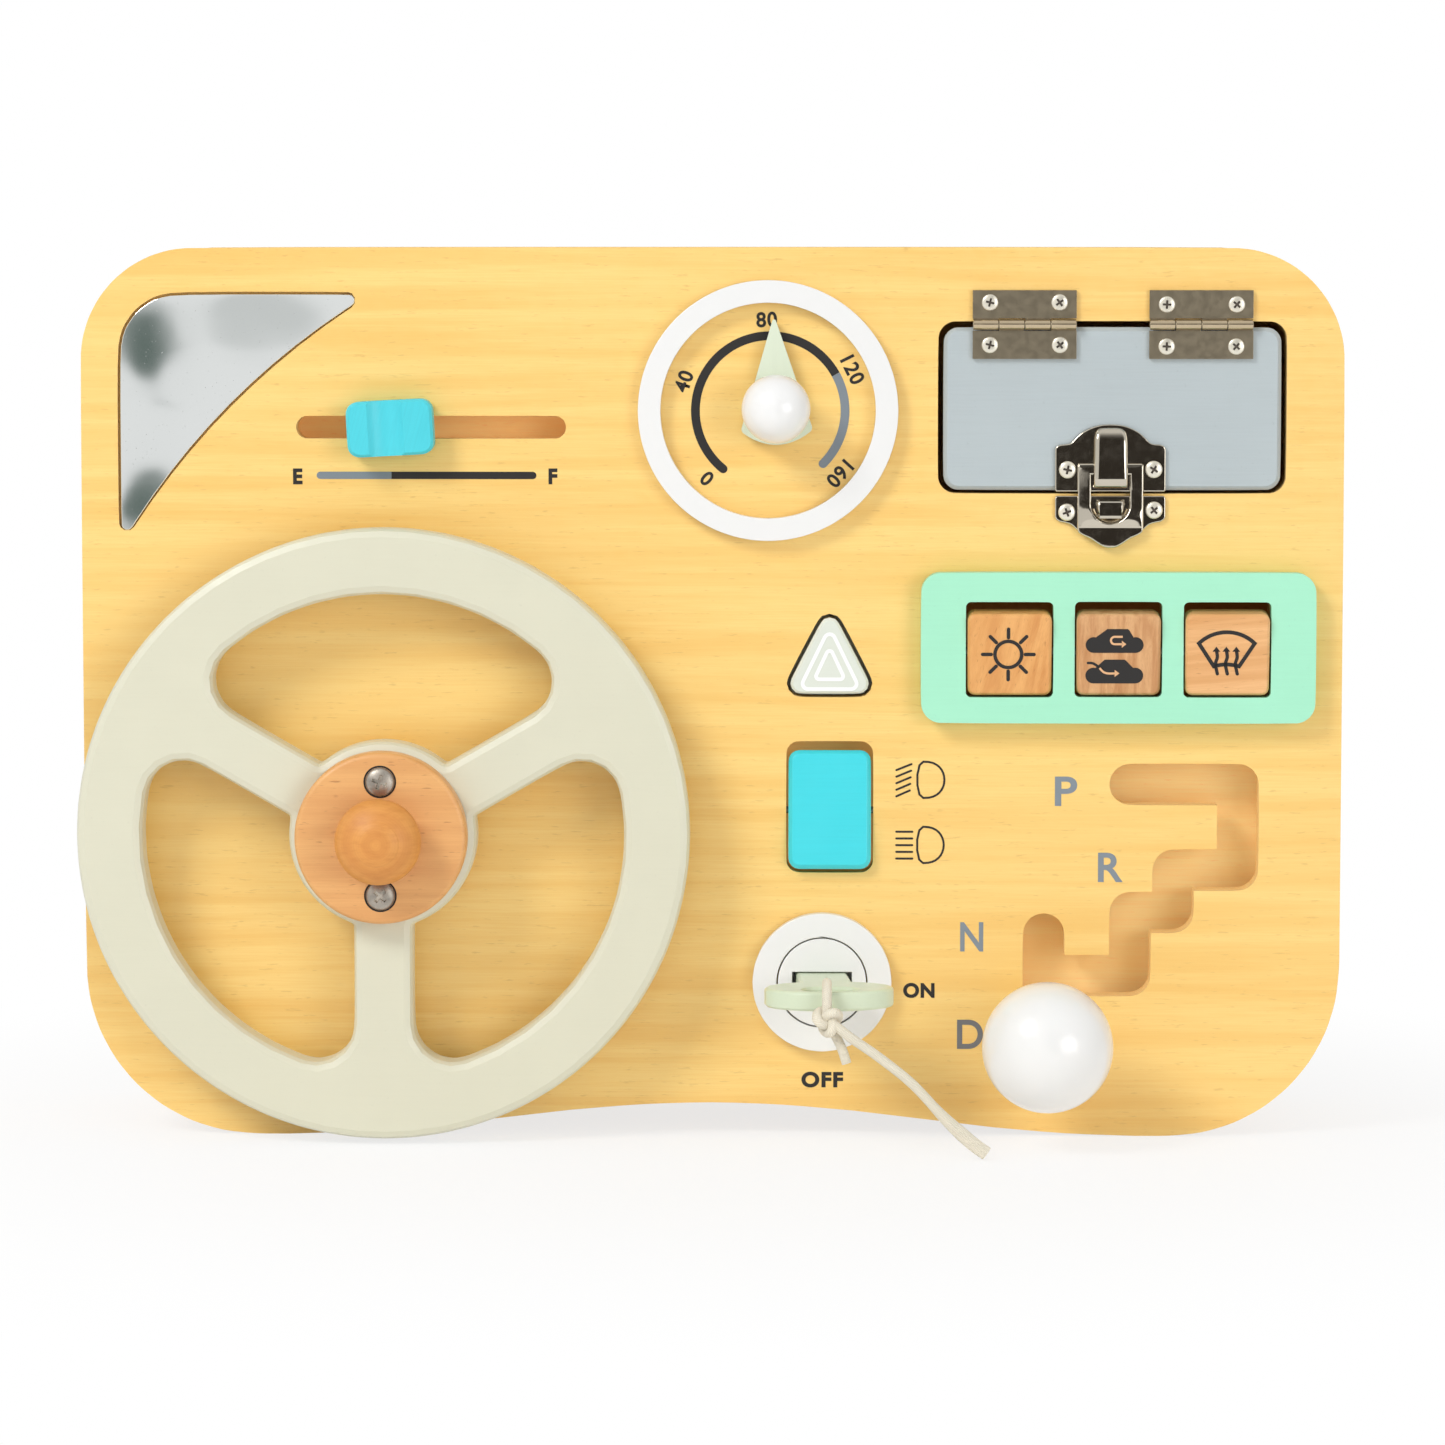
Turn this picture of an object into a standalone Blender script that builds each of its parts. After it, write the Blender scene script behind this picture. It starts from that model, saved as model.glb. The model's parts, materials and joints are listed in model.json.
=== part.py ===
"""Steering wheel busy board: a wooden play dashboard that stands on a table.

Every piece is modelled in board coordinates: u runs right, v runs up from the table and w runs
outward from the front of the front panel. In the scene u is X, v is Z and w points to -Y.
Lengths are in metres, angles in degrees.
"""
import math

import bmesh
import bpy
from mathutils import Matrix, Vector

# Clearances and fineness
TOUCH_GAP = 0.0003
CUT_OVERRUN = 0.002
WELD_DISTANCE = 0.00002
SCREW_MERGE = 0.0001
SMOOTH_ANGLE = 35
ROUND_STEPS = 24
BALL_STEPS = 9
SMALL_STEPS = 12
CORNER_STEPS = 4
ARCH_STEPS = 12

# Case
PANEL_WIDTH = 0.370
PANEL_HEIGHT = 0.2617
PANEL_THICKNESS = 0.009
TOP_CORNER_RADIUS = 0.033
FOOT_RADIUS = 0.050
FOOT_FLAT = 0.010
ARCH_RISE = 0.0098
BACK_THICKNESS = 0.006
RAIL_DEPTH = 0.0624
RAIL_INSET = 0.004
RAIL_THICKNESS = 0.006
RAIL_TOP_JOINT = 0.222
RAIL_BOTTOM_JOINT = 0.058

# Mirror in its pocket
MIRROR_LEFT = -0.1735
MIRROR_TOP = 0.2481
MIRROR_LEG = 0.0737
MIRROR_CORNER_RADIUS = 0.017
MIRROR_TIP_RADIUS = 0.0018
MIRROR_BOW = 0.0065
MIRROR_BOW_STEPS = 12
MIRROR_THICKNESS = 0.002
MIRROR_RECESS = 0.0004
MIRROR_MARGIN = 0.0007
MIRROR_SEAT_LAP = 0.0017
MIRROR_SEAT_DEPTH = 0.008

# Fuel slider
SLOT_U = -0.0822
SLOT_V = 0.2092
SLOT_LENGTH = 0.0792
SLOT_WIDTH = 0.0067
SLIDER_U = -0.0937
SLIDER_LENGTH = 0.0252
SLIDER_HEIGHT = 0.0162
SLIDER_RISE = 0.009
SLIDER_CORNER = 0.0035
SLIDER_TILT = 3
SLIDER_EDGE = 0.0008
GROOVE_WIDTH = 0.0104
GROOVE_DEPTH = 0.0022
GROOVE_SHIFT = -0.0012
SLIDER_STEM_RADIUS = 0.003
SLIDER_FOOT_RADIUS = 0.0065
SLIDER_FOOT_THICKNESS = 0.003
TRACK_SLACK = 0.0005
TRACK_WALL = 0.004
TRACK_FLOOR = 0.003

# Speed dial
DIAL_U = 0.0166
DIAL_V = 0.2142
DIAL_OUTER_RADIUS = 0.0381
DIAL_INNER_RADIUS = 0.0315
DIAL_RING_RISE = 0.004
NEEDLE_U = 0.0190
NEEDLE_V = 0.2150
NEEDLE_LENGTH = 0.0272
NEEDLE_TAIL = 0.0108
NEEDLE_HALF_WIDTH = 0.0106
NEEDLE_SHOULDER = 0.0066
NEEDLE_TIP_RADIUS = 0.0006
NEEDLE_CORNER_RADIUS = 0.0016
NEEDLE_TAIL_STEPS = 6
NEEDLE_HEIGHT = 0.0015
NEEDLE_THICKNESS = 0.003
NEEDLE_TILT = 1.5
DIAL_BALL_RADIUS = 0.010
DIAL_BALL_FLAT = 0.0045
DIAL_PIN_RADIUS = 0.003
DIAL_PIN_GRIP = 0.009
DIAL_COLLAR_RADIUS = 0.008
DIAL_COLLAR_THICKNESS = 0.003

# Steering wheel
WHEEL_U = -0.0955
WHEEL_V = 0.0910
WHEEL_RADIUS = 0.0895
WHEEL_RIM_WIDTH = 0.0190
WHEEL_SPOKE_WIDTH = 0.0170
WHEEL_SPOKE_COUNT = 3
WHEEL_FIRST_SPOKE = -90
WHEEL_HUB_RADIUS = 0.0274
WHEEL_THICKNESS = 0.014
WHEEL_EDGE = 0.0024
WHEEL_EDGE_STEPS = 1
WHEEL_OPENING_CORNER = 0.0115
WHEEL_OPENING_ROOT = 0.0015
WHEEL_RIM_STEPS = 64
WHEEL_SPAN_STEPS = 5
HUB_DISC_RADIUS = 0.0250
HUB_DISC_THICKNESS = 0.008
HUB_SCREW_SPREAD = 0.0166
HUB_SCREW_HEAD_RADIUS = 0.0042
HUB_SCREW_HEAD_HEIGHT = 0.0022
HUB_SCREW_DOME_SHARE = 0.7
HUB_SCREW_SHANK_RADIUS = 0.0018
HUB_SCREW_SINK = 0.0008
HUB_SCREW_LENGTH = 0.018
KNOB_NECK_RADIUS = 0.0065
KNOB_NECK_HEIGHT = 0.003
KNOB_RADIUS = 0.0125
KNOB_HEAD_HEIGHT = 0.014
FLANGE_RADIUS = 0.022
FLANGE_THICKNESS = 0.006
SPINDLE_RADIUS = 0.008
SPINDLE_TAIL = 0.001
RETAINER_RADIUS = 0.015
RETAINER_THICKNESS = 0.004

# Hazard button: a triangle with rounded corners
HAZARD_U = 0.0347
HAZARD_BASE_V = 0.1300
HAZARD_WIDTH = 0.0306
HAZARD_HEIGHT = 0.0295
HAZARD_CORNER = 0.0042
HAZARD_GAP = 0.0011
HAZARD_RISE = 0.0015
HAZARD_EDGE = 0.0007
HAZARD_CENTRE_RISE = 0.0098
HAZARD_FLANGE_RADIUS = 0.0155
HAZARD_FLANGE_THICKNESS = 0.0025
HAZARD_CUP_WALL = 0.0025
HAZARD_CUP_SLACK = 0.0005
HAZARD_CUP_DEPTH = 0.015
SPRING_RADIUS = 0.005
SPRING_WIRE = 0.0005
SPRING_TURNS = 4
SPRING_TURN_POINTS = 8

# Headlight rocker
HEADLIGHT_U = 0.0348
HEADLIGHT_V = 0.0976
HEADLIGHT_SLOT_WIDTH = 0.0256
HEADLIGHT_SLOT_HEIGHT = 0.0389
HEADLIGHT_SLOT_CORNER = 0.0037
HEADLIGHT_WIDTH = 0.0243
HEADLIGHT_HEIGHT = 0.0350
HEADLIGHT_CORNER = 0.0032
HEADLIGHT_EDGE = 0.0012
HEADLIGHT_TILT = -7
HEADLIGHT_DROP = 0.00115
HEADLIGHT_PIVOT_DEPTH = 0.0030
HEADLIGHT_FRONT = 0.0051
HEADLIGHT_REAR = 0.004
HEADLIGHT_PIN_RADIUS = 0.001
HEADLIGHT_PIN_LENGTH = 0.031
HEADLIGHT_TRAY_WALL = 0.0035
HEADLIGHT_TRAY_DEPTH = 0.006
HEADLIGHT_TRAY_FLOOR = 0.003

# Row of three wooden rockers in a painted frame
SWITCH_NAMES = ("sun_rocker", "air_rocker", "demist_rocker")
SWITCH_U = 0.1191
SWITCH_V = 0.1450
SWITCH_FRAME_WIDTH = 0.1154
SWITCH_FRAME_HEIGHT = 0.0442
SWITCH_FRAME_CORNER = 0.006
SWITCH_FRAME_RISE = 0.006
SWITCH_PITCH = 0.0318
SWITCH_WINDOW_WIDTH = 0.0256
SWITCH_WINDOW_HEIGHT = 0.0280
SWITCH_WINDOW_CORNER = 0.0016
SWITCH_WINDOW_DROP = 0.0005
SWITCH_MIDDLE_LIFT = 0.0001
SWITCH_WIDTH = 0.0246
SWITCH_HEIGHT = 0.0242
SWITCH_CORNER = 0.0022
SWITCH_EDGE = 0.0008
SWITCH_TILT = 7
SWITCH_DROP = 0.0008
SWITCH_AXLE_W = 0.0018
SWITCH_FRONT = 0.0055
SWITCH_REAR = 0.004
SWITCH_AXLE_RADIUS = 0.0014
SWITCH_AXLE_LENGTH = 0.094

# Key lock
LOCK_U = 0.0326
LOCK_V = 0.0460
LOCK_RING_RADIUS = 0.0206
LOCK_RING_RISE = 0.004
LOCK_RING_SLACK = 0.0004
ROTOR_RADIUS = 0.0131
ROTOR_FACE_DROP = 0.0003
ROTOR_FACE_THICKNESS = 0.0035
ROTOR_SHAFT_RADIUS = 0.0102
ROTOR_TAIL = 0.001
ROTOR_RETAINER_RADIUS = 0.016
ROTOR_RETAINER_THICKNESS = 0.003
KEYHOLE_WIDTH = 0.0175
KEYHOLE_HEIGHT = 0.0062
KEYHOLE_DEPTH = 0.012
KEY_BLADE_WIDTH = 0.0150
KEY_THICKNESS = 0.0056
KEY_INSERT = 0.0060
KEY_BOW_CENTRE = 0.030
KEY_BOW_RADIUS = 0.0188
KEY_BOW_HALF_DEPTH = 0.0125
KEY_BOW_STEPS = 20
KEY_BLADE_CORNER = 0.001
KEY_HOLE_WIDTH = 0.016
KEY_HOLE_HEIGHT = 0.009
KEY_HOLE_CORNER = 0.0044
KEY_HOLE_CENTRE = 0.035
KEY_EDGE = 0.0007
KEY_YAW = 4

# Cord on the key, in board coordinates: a loop through the bow, a knot, a long tail and a stub
CORD_RADIUS = 0.0014
CORD_BEVEL_STEPS = 2
CORD_SPAN_POINTS = 2
CORD_GAP = 0.0003
CORD_LOOP_U = 0.0340
CORD_LOOP_CENTRE = (0.0462, 0.0460)
CORD_LOOP_RADIUS = 0.0056
CORD_LOOP_START = -35
CORD_LOOP_END = 300
CORD_LOOP_STEPS = 16
KNOT_CENTRE = (0.0342, 0.0414, 0.0512)
KNOT_RADII = (0.0045, 0.0046, 0.0037)
KNOT_STEPS = 12
CORD_ROUTE = (
    (0.0355, 0.0408, 0.0522),
    (0.0410, 0.0366, 0.0532),
    (0.0490, 0.0310, 0.0530),
    (0.0585, 0.0232, 0.0518),
    (0.0676, 0.0132, 0.0497),
    (0.0755, 0.0056, 0.0470),
    (0.0800, 0.0021, 0.0456),
)
STUB_ROUTE = (
    (0.0350, 0.0396, 0.0503),
    (0.0380, 0.0338, 0.0498),
    (0.0397, 0.0288, 0.0497),
)

# Gear gate and lever
LANE_WIDTH = 0.0123
GATE_PARK_U = 0.1231
GATE_COLUMNS = (0.1548, 0.1359, 0.1233, 0.0979)
GATE_RUNS = (0.1044, 0.0791, 0.0665, 0.0477)
GATE_NEUTRAL_V = 0.0601
GATE_DRIVE_V = 0.0311
STICK_RADIUS = 0.0048
STICK_GRIP = 0.010
GEAR_FOOT_RADIUS = 0.009
GEAR_FOOT_THICKNESS = 0.004
GEAR_TRACK_SLACK = 0.0006
GEAR_TRACK_WALL = 0.002
GEAR_TRACK_DEPTH = 0.005
GEAR_TRACK_FLOOR = 0.004
GEAR_BALL_RADIUS = 0.019
GEAR_BALL_FLAT = 0.0054
GEAR_BALL_W = 0.033

# Glove box
GLOVE_U = 0.1172
GLOVE_V = 0.2151
GLOVE_WIDTH = 0.1019
GLOVE_HEIGHT = 0.0504
GLOVE_CORNER = 0.0052
GLOVE_BOX_WALL = 0.003
GLOVE_BOX_DEPTH = 0.048
DOOR_V = 0.2147
DOOR_WIDTH = 0.0987
DOOR_HEIGHT = 0.0476
DOOR_CORNER = 0.0045
DOOR_THICKNESS = 0.0075
DOOR_EDGE = 0.0012

# Butt hinges
HINGE_SIDES = {"left_hinge": -1, "right_hinge": 1}
HINGE_SPREAD = 0.02575
HINGE_LENGTH = 0.0303
HINGE_REACH = 0.010
HINGE_V = 0.2393
LEAF_THICKNESS = 0.001
LEAF_TAB_REACH = 0.001
LEAF_TAB_INSET = 0.0001
BARREL_RADIUS = 0.0015
HINGE_PIN_RADIUS = 0.0007
HINGE_BORE_RADIUS = 0.0010
KNUCKLE_COUNT = 4

# Toggle latch
LATCH_U = 0.1167
LATCH_PLATE = 0.0008
LATCH_CORNER = 0.0016
LATCH_HALF_WIDTH = 0.0162
LATCH_ARCH_STEPS = 10
STRIKE_BOTTOM = 0.1905
STRIKE_SHOULDER = 0.2041
STRIKE_TOP = 0.2102
STRIKE_ARCH_HALF = 0.0112
TONGUE_WIDTH = 0.0097
TONGUE_CORNER = 0.0042
TONGUE_BOTTOM = 0.1919
TONGUE_TOP = 0.2094
TONGUE_UNDERSIDE = 0.0036
TONGUE_THICKNESS = 0.0008
BASE_TOP = 0.1893
BASE_SHOULDER = 0.1818
BASE_BOTTOM = 0.1746
BASE_ARCH_HALF = 0.0118
LEVER_HALF_WIDTH = 0.0096
LEVER_TOP = 0.1989
LEVER_TOP_CORNER = 0.0008
LEVER_SHOULDER = 0.1795
LEVER_POINT = 0.1743
LEVER_POINT_HALF = 0.0020
LEVER_BAR = 0.0034
LEVER_OPENING_HALF = 0.00565
LEVER_OPENING_BOTTOM = 0.1812
LEVER_UNDERSIDE = 0.0015
LEVER_THICKNESS = 0.0009
LATCH_PIVOT_W = 0.0026
LINK_TOP_V = 0.1870
LINK_LOW_V = 0.1836
LINK_HALF_WIDTH = 0.0032
LINK_RADIUS = 0.0011
EAR_THICKNESS = 0.0007
EAR_RADIUS = 0.0012
EAR_STEPS = 8
BASE_EAR_ROOT = (0.1870, 0.0018)
LEVER_EAR_ROOT = (0.1810, 0.0029)
LATCH_PIN_RADIUS = 0.0004
LATCH_BORE_RADIUS = 0.0006

# Places that follow from the stack of boards
BEHIND_PANEL = -PANEL_THICKNESS - TOUCH_GAP
RAIL_BACK = BEHIND_PANEL - RAIL_DEPTH
BACK_REACH = BACK_THICKNESS + TOUCH_GAP - RAIL_BACK
FRONT_REACH = GEAR_BALL_W + GEAR_BALL_RADIUS
FACE_Y = (FRONT_REACH - BACK_REACH) / 2
WHEEL_BACK = FLANGE_THICKNESS + 2 * TOUCH_GAP
HUB_BACK = WHEEL_BACK + WHEEL_THICKNESS + TOUCH_GAP
HUB_FRONT = HUB_BACK + HUB_DISC_THICKNESS
ROTOR_FRONT = TOUCH_GAP + LOCK_RING_RISE - ROTOR_FACE_DROP
PLATE_TOP = TOUCH_GAP + LATCH_PLATE

# Points on the joints' axes
SLIDER_AT = (SLIDER_U, SLOT_V, 0)
NEEDLE_AT = (NEEDLE_U, NEEDLE_V, 0)
WHEEL_AT = (WHEEL_U, WHEEL_V, 0)
HAZARD_AT = (HAZARD_U, HAZARD_BASE_V + HAZARD_CENTRE_RISE, 0)
HEADLIGHT_AT = (HEADLIGHT_U, HEADLIGHT_V - HEADLIGHT_DROP, -HEADLIGHT_PIVOT_DEPTH)
AXLE_AT = (SWITCH_U, SWITCH_V - SWITCH_WINDOW_DROP - SWITCH_DROP, SWITCH_AXLE_W)
LOCK_AT = (LOCK_U, LOCK_V, 0)
GEAR_AT = (GATE_COLUMNS[-1], GATE_DRIVE_V, 0)
HINGE_AT = (GLOVE_U, HINGE_V, TOUCH_GAP + BARREL_RADIUS)
LINK_AT = (LATCH_U, LINK_TOP_V, LATCH_PIVOT_W)
LEVER_AT = (LATCH_U, LINK_LOW_V, LATCH_PIVOT_W)

# Colours as linear red, green and blue
BIRCH = (0.982, 0.694, 0.254)
BEECH = (0.767, 0.381, 0.138)
SAGE = (0.783, 0.768, 0.610)
NEEDLE_GREEN = (0.645, 0.745, 0.578)
WHITE = (0.93, 0.93, 0.92)
PALE_GREY = (0.753, 0.776, 0.701)
TURQUOISE = (0.102, 0.752, 0.839)
MINT = (0.423, 0.863, 0.638)
BLUE_GREY = (0.479, 0.552, 0.578)
KEY_GREEN = (0.701, 0.776, 0.578)
COTTON = (0.922, 0.855, 0.672)
NICKEL = (0.55, 0.53, 0.50)
SILVER = (0.90, 0.90, 0.90)
GLOSS = 0.35
SATIN = 0.5
MATT = 0.7
POLISHED = 0.15


def material(name, colour, roughness, metallic=0.0):
    """A Principled material, made once for each name."""
    made = bpy.data.materials.get(name)
    if made:
        return made
    made = bpy.data.materials.new(name)
    made.use_nodes = True
    shader = made.node_tree.nodes["Principled BSDF"]
    shader.inputs["Base Color"].default_value = (*colour, 1.0)
    shader.inputs["Roughness"].default_value = roughness
    shader.inputs["Metallic"].default_value = metallic
    made.diffuse_color = (*colour, 1.0)
    return made


# Outlines: closed lists of (across, up) points
def arc(centre, radius, start, end, steps):
    """Points on an arc, both ends included."""
    angles = [math.radians(start + (end - start) * step / steps) for step in range(steps + 1)]
    return [(centre[0] + radius * math.cos(a), centre[1] + radius * math.sin(a)) for a in angles]


def circle(radius, steps=ROUND_STEPS, centre=(0, 0)):
    return arc(centre, radius, 0, 360, steps)[:-1]


def rounded(corners, steps=CORNER_STEPS):
    """A closed outline through corners given as (across, up, radius)."""
    outline = []
    for index, (across, up, radius) in enumerate(corners):
        if not radius:
            outline.append((across, up))
            continue
        corner = Vector((across, up))
        back = (Vector(corners[index - 1][:2]) - corner).normalized()
        ahead = (Vector(corners[(index + 1) % len(corners)][:2]) - corner).normalized()
        half = back.angle(ahead) / 2
        centre = corner + (back + ahead).normalized() * radius / math.sin(half)
        first = corner + back * radius / math.tan(half) - centre
        last = corner + ahead * radius / math.tan(half) - centre
        start = math.degrees(math.atan2(first.y, first.x))
        turn = math.degrees(math.atan2(last.y, last.x)) - start
        outline += arc(centre, radius, start, start + (turn + 180) % 360 - 180, steps)
    return outline


def rectangle(centre, width, height, radius):
    left, right = centre[0] - width / 2, centre[0] + width / 2
    low, high = centre[1] - height / 2, centre[1] + height / 2
    return rounded([(left, low, radius), (right, low, radius), (right, high, radius), (left, high, radius)])


def capsule(start, end, radius, steps=SMALL_STEPS):
    """The outline of a round-ended bar between two points."""
    heading = math.degrees(math.atan2(end[1] - start[1], end[0] - start[0]))
    return (arc(end, radius, heading - 90, heading + 90, steps)
            + arc(start, radius, heading + 90, heading + 270, steps))


def slot_outline(length, width):
    """A round-ended slot along the slider's line."""
    reach = (length - width) / 2
    return capsule((SLOT_U - reach, SLOT_V), (SLOT_U + reach, SLOT_V), width / 2)


def shifted(outline, centre):
    return [(across - centre[0], up - centre[1]) for across, up in outline]


# Meshes
def mesh_from_curve(curve):
    """The curve's evaluated mesh, its caps welded on."""
    holder = bpy.data.objects.new("holder", curve)
    bpy.context.scene.collection.objects.link(holder)
    bpy.context.view_layer.update()
    graph = bpy.context.evaluated_depsgraph_get()
    mesh = bpy.data.meshes.new_from_object(holder.evaluated_get(graph))
    bpy.data.objects.remove(holder)
    shape = bmesh.new()
    shape.from_mesh(mesh)
    bmesh.ops.remove_doubles(shape, verts=shape.verts, dist=WELD_DISTANCE)
    bmesh.ops.dissolve_degenerate(shape, dist=WELD_DISTANCE, edges=shape.edges)
    bmesh.ops.recalc_face_normals(shape, faces=shape.faces)
    shape.to_mesh(mesh)
    shape.free()
    return mesh


def outline_mesh(outer, holes, low, high, edge=0.0, edge_steps=0):
    """A flat outline with holes, from depth low to depth high, its rims rounded by edge."""
    curve = bpy.data.curves.new("outline", "CURVE")
    curve.dimensions = "2D"
    curve.fill_mode = "BOTH"
    curve.extrude = (high - low) / 2 - edge
    curve.bevel_depth = edge
    curve.offset = -edge
    curve.bevel_resolution = edge_steps
    for loop in [outer, *holes]:
        spline = curve.splines.new("POLY")
        spline.points.add(len(loop) - 1)
        for point, (across, up) in zip(spline.points, loop):
            point.co = (across, up, 0, 1)
        spline.use_cyclic_u = True
    mesh = mesh_from_curve(curve)
    mesh.transform(Matrix.Translation((0, 0, (low + high) / 2)))
    return mesh


def tube_mesh(points, radius, bevel):
    """A round wire with capped ends through the points."""
    curve = bpy.data.curves.new("tube", "CURVE")
    curve.dimensions = "3D"
    curve.bevel_depth = radius
    curve.bevel_resolution = bevel
    curve.use_fill_caps = True
    spline = curve.splines.new("POLY")
    spline.points.add(len(points) - 1)
    for point, place in zip(spline.points, points):
        point.co = (*place, 1)
    return mesh_from_curve(curve)


def sideways(mesh):
    """A mesh drawn in (v, w) and extruded in u, turned into board coordinates."""
    mesh.transform(Matrix(((0, 0, 1, 0), (1, 0, 0, 0), (0, 1, 0, 0), (0, 0, 0, 1))))
    return mesh


def box_mesh(low, high):
    shape = bmesh.new()
    bmesh.ops.create_cube(shape, size=1)
    bmesh.ops.scale(shape, vec=Vector(high) - Vector(low), verts=shape.verts)
    bmesh.ops.translate(shape, vec=(Vector(high) + Vector(low)) / 2, verts=shape.verts)
    return finished_mesh(shape, "box")


def rod_mesh(radius, left, right, steps=SMALL_STEPS):
    """A round rod along u from left to right."""
    shape = bmesh.new()
    bmesh.ops.create_cone(shape, cap_ends=True, segments=steps, radius1=radius, radius2=radius,
                          depth=right - left)
    bmesh.ops.rotate(shape, matrix=Matrix.Rotation(math.pi / 2, 3, "Y"), verts=shape.verts)
    bmesh.ops.translate(shape, vec=((left + right) / 2, 0, 0), verts=shape.verts)
    return finished_mesh(shape, "rod")


def finished_mesh(shape, name):
    mesh = bpy.data.meshes.new(name)
    shape.to_mesh(mesh)
    shape.free()
    return mesh


# Objects
def shelf(name):
    """The collection of that name, made when first asked for."""
    found = bpy.data.collections.get(name)
    if not found:
        found = bpy.data.collections.new(name)
        bpy.context.scene.collection.children.link(found)
    return found


def empty(name, at, turn=(0, 0, 0), parent=None):
    made = bpy.data.objects.new(name, None)
    shelf("steering_wheel_busy_board").objects.link(made)
    made.parent = parent
    made.location = at
    made.rotation_euler = [math.radians(angle) for angle in turn]
    return made


def face_frame():
    """The empty whose axes are u, v and w, at the foot of the front panel's face."""
    return bpy.data.objects.get("face_frame") or empty("face_frame", (0, FACE_Y, 0), (90, 0, 0))


def mover(name, at):
    """An empty on a joint's axis, which carries the pieces that move about it."""
    return empty(name, at, parent=face_frame())


def piece(name, mesh, look, at=(0, 0, 0), turn=(0, 0, 0), carrier=None):
    """A sub-part at a place in board coordinates, turned by angles about u, v and w."""
    made = bpy.data.objects.new(name, mesh)
    shelf("steering_wheel_busy_board").objects.link(made)
    made.parent = carrier or face_frame()
    made.location = Vector(at) - (carrier.location if carrier else Vector())
    made.rotation_euler = [math.radians(angle) for angle in turn]
    mesh.materials.clear()
    mesh.materials.append(look)
    mesh.shade_smooth()
    mesh.set_sharp_from_angle(angle=math.radians(SMOOTH_ANGLE))
    return made


def tool(name, mesh, at=(0, 0, 0), turn=(0, 0, 0)):
    """A hidden shape that cuts or joins, in board coordinates."""
    made = bpy.data.objects.new(name, mesh)
    shelf("cutters").objects.link(made)
    made.parent = face_frame()
    made.location = at
    made.rotation_euler = [math.radians(angle) for angle in turn]
    made.hide_render = True
    made.display_type = "WIRE"
    return made


def combine(target, other, operation):
    step = target.modifiers.new(other.name, "BOOLEAN")
    step.operation = operation
    step.solver = "EXACT"
    step.object = other


def cut(target, other):
    combine(target, other, "DIFFERENCE")


def join(target, other):
    combine(target, other, "UNION")


def profile_mesh(profile, closed=False):
    """The half section of a turned shape, as (radius, w) points from top to bottom."""
    edges = [(index, index + 1) for index in range(len(profile) - 1)]
    if closed:
        edges.append((len(profile) - 1, 0))
    mesh = bpy.data.meshes.new("profile")
    mesh.from_pydata([(radius, 0, height) for radius, height in profile], edges, [])
    return mesh


def turn_profile(made, steps):
    screw = made.modifiers.new("turned", "SCREW")
    screw.steps = steps
    screw.render_steps = steps
    screw.use_merge_vertices = True
    screw.merge_threshold = SCREW_MERGE
    return made


def turned(name, profile, look, at, steps=ROUND_STEPS, carrier=None):
    """A sub-part turned about w through a place on the face."""
    return turn_profile(piece(name, profile_mesh(profile), look, at, carrier=carrier), steps)


def turned_ring(name, bore, radius, thickness, look, at, carrier=None):
    """A ring behind the panel, round a shaft."""
    high, low = BEHIND_PANEL, BEHIND_PANEL - thickness
    profile = [(radius, high), (radius, low), (bore, low), (bore, high)]
    return turn_profile(piece(name, profile_mesh(profile, True), look, at, carrier=carrier), ROUND_STEPS)


def turned_tool(name, profile, at, steps=ROUND_STEPS):
    return turn_profile(tool(name, profile_mesh(profile), at), steps)


def disc_profile(radius, low, high):
    return [(0, high), (radius, high), (radius, low), (0, low)]


def ball_profile(radius, flat, centre, bore, bore_depth):
    """A ball with a flat at its foot and a blind bore up from it."""
    foot = -math.degrees(math.acos(flat / radius))
    skin = [(0, centre + radius)] + arc((0, centre), radius, 90, foot, BALL_STEPS)[1:]
    low = skin[-1][1]
    return skin + [(bore, low), (bore, low + bore_depth), (0, low + bore_depth)]


def tray(name, outer, cavity, depth, floor):
    """A box behind the panel, open towards the front."""
    low = BEHIND_PANEL - depth
    made = piece(name, outline_mesh(outer, [], low - floor, BEHIND_PANEL), material("birch", BIRCH, SATIN))
    cut(made, tool(name + "_space", outline_mesh(cavity, [], low, BEHIND_PANEL + CUT_OVERRUN)))


# Case
def top_path(inset):
    """Over the top of the case outline, drawn in by inset, from the left joint to the right one."""
    side = PANEL_WIDTH / 2 - inset
    radius = TOP_CORNER_RADIUS - inset
    across, up = PANEL_WIDTH / 2 - TOP_CORNER_RADIUS, PANEL_HEIGHT - TOP_CORNER_RADIUS
    steps = 2 * CORNER_STEPS
    return ([(-side, RAIL_TOP_JOINT)] + arc((-across, up), radius, 180, 90, steps)
            + arc((across, up), radius, 90, 0, steps) + [(side, RAIL_TOP_JOINT)])


def bottom_path(inset):
    """Under the case outline, drawn in by inset, from the right joint to the left one."""
    side = PANEL_WIDTH / 2 - inset
    radius = FOOT_RADIUS - inset
    across = PANEL_WIDTH / 2 - FOOT_RADIUS
    steps = 2 * CORNER_STEPS
    arch = []
    for step in range(ARCH_STEPS + 1):
        share = 1 - 2 * step / ARCH_STEPS
        rise = ARCH_RISE * (1 + math.cos(math.pi * share)) / 2
        arch.append((share * (across - FOOT_FLAT), inset + rise))
    return ([(side, RAIL_BOTTOM_JOINT)] + arc((across, FOOT_RADIUS), radius, 0, -90, steps) + arch
            + arc((-across, FOOT_RADIUS), radius, 270, 180, steps) + [(-side, RAIL_BOTTOM_JOINT)])


def case_outline():
    return (top_path(0) + bottom_path(0))[::-1]


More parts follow.
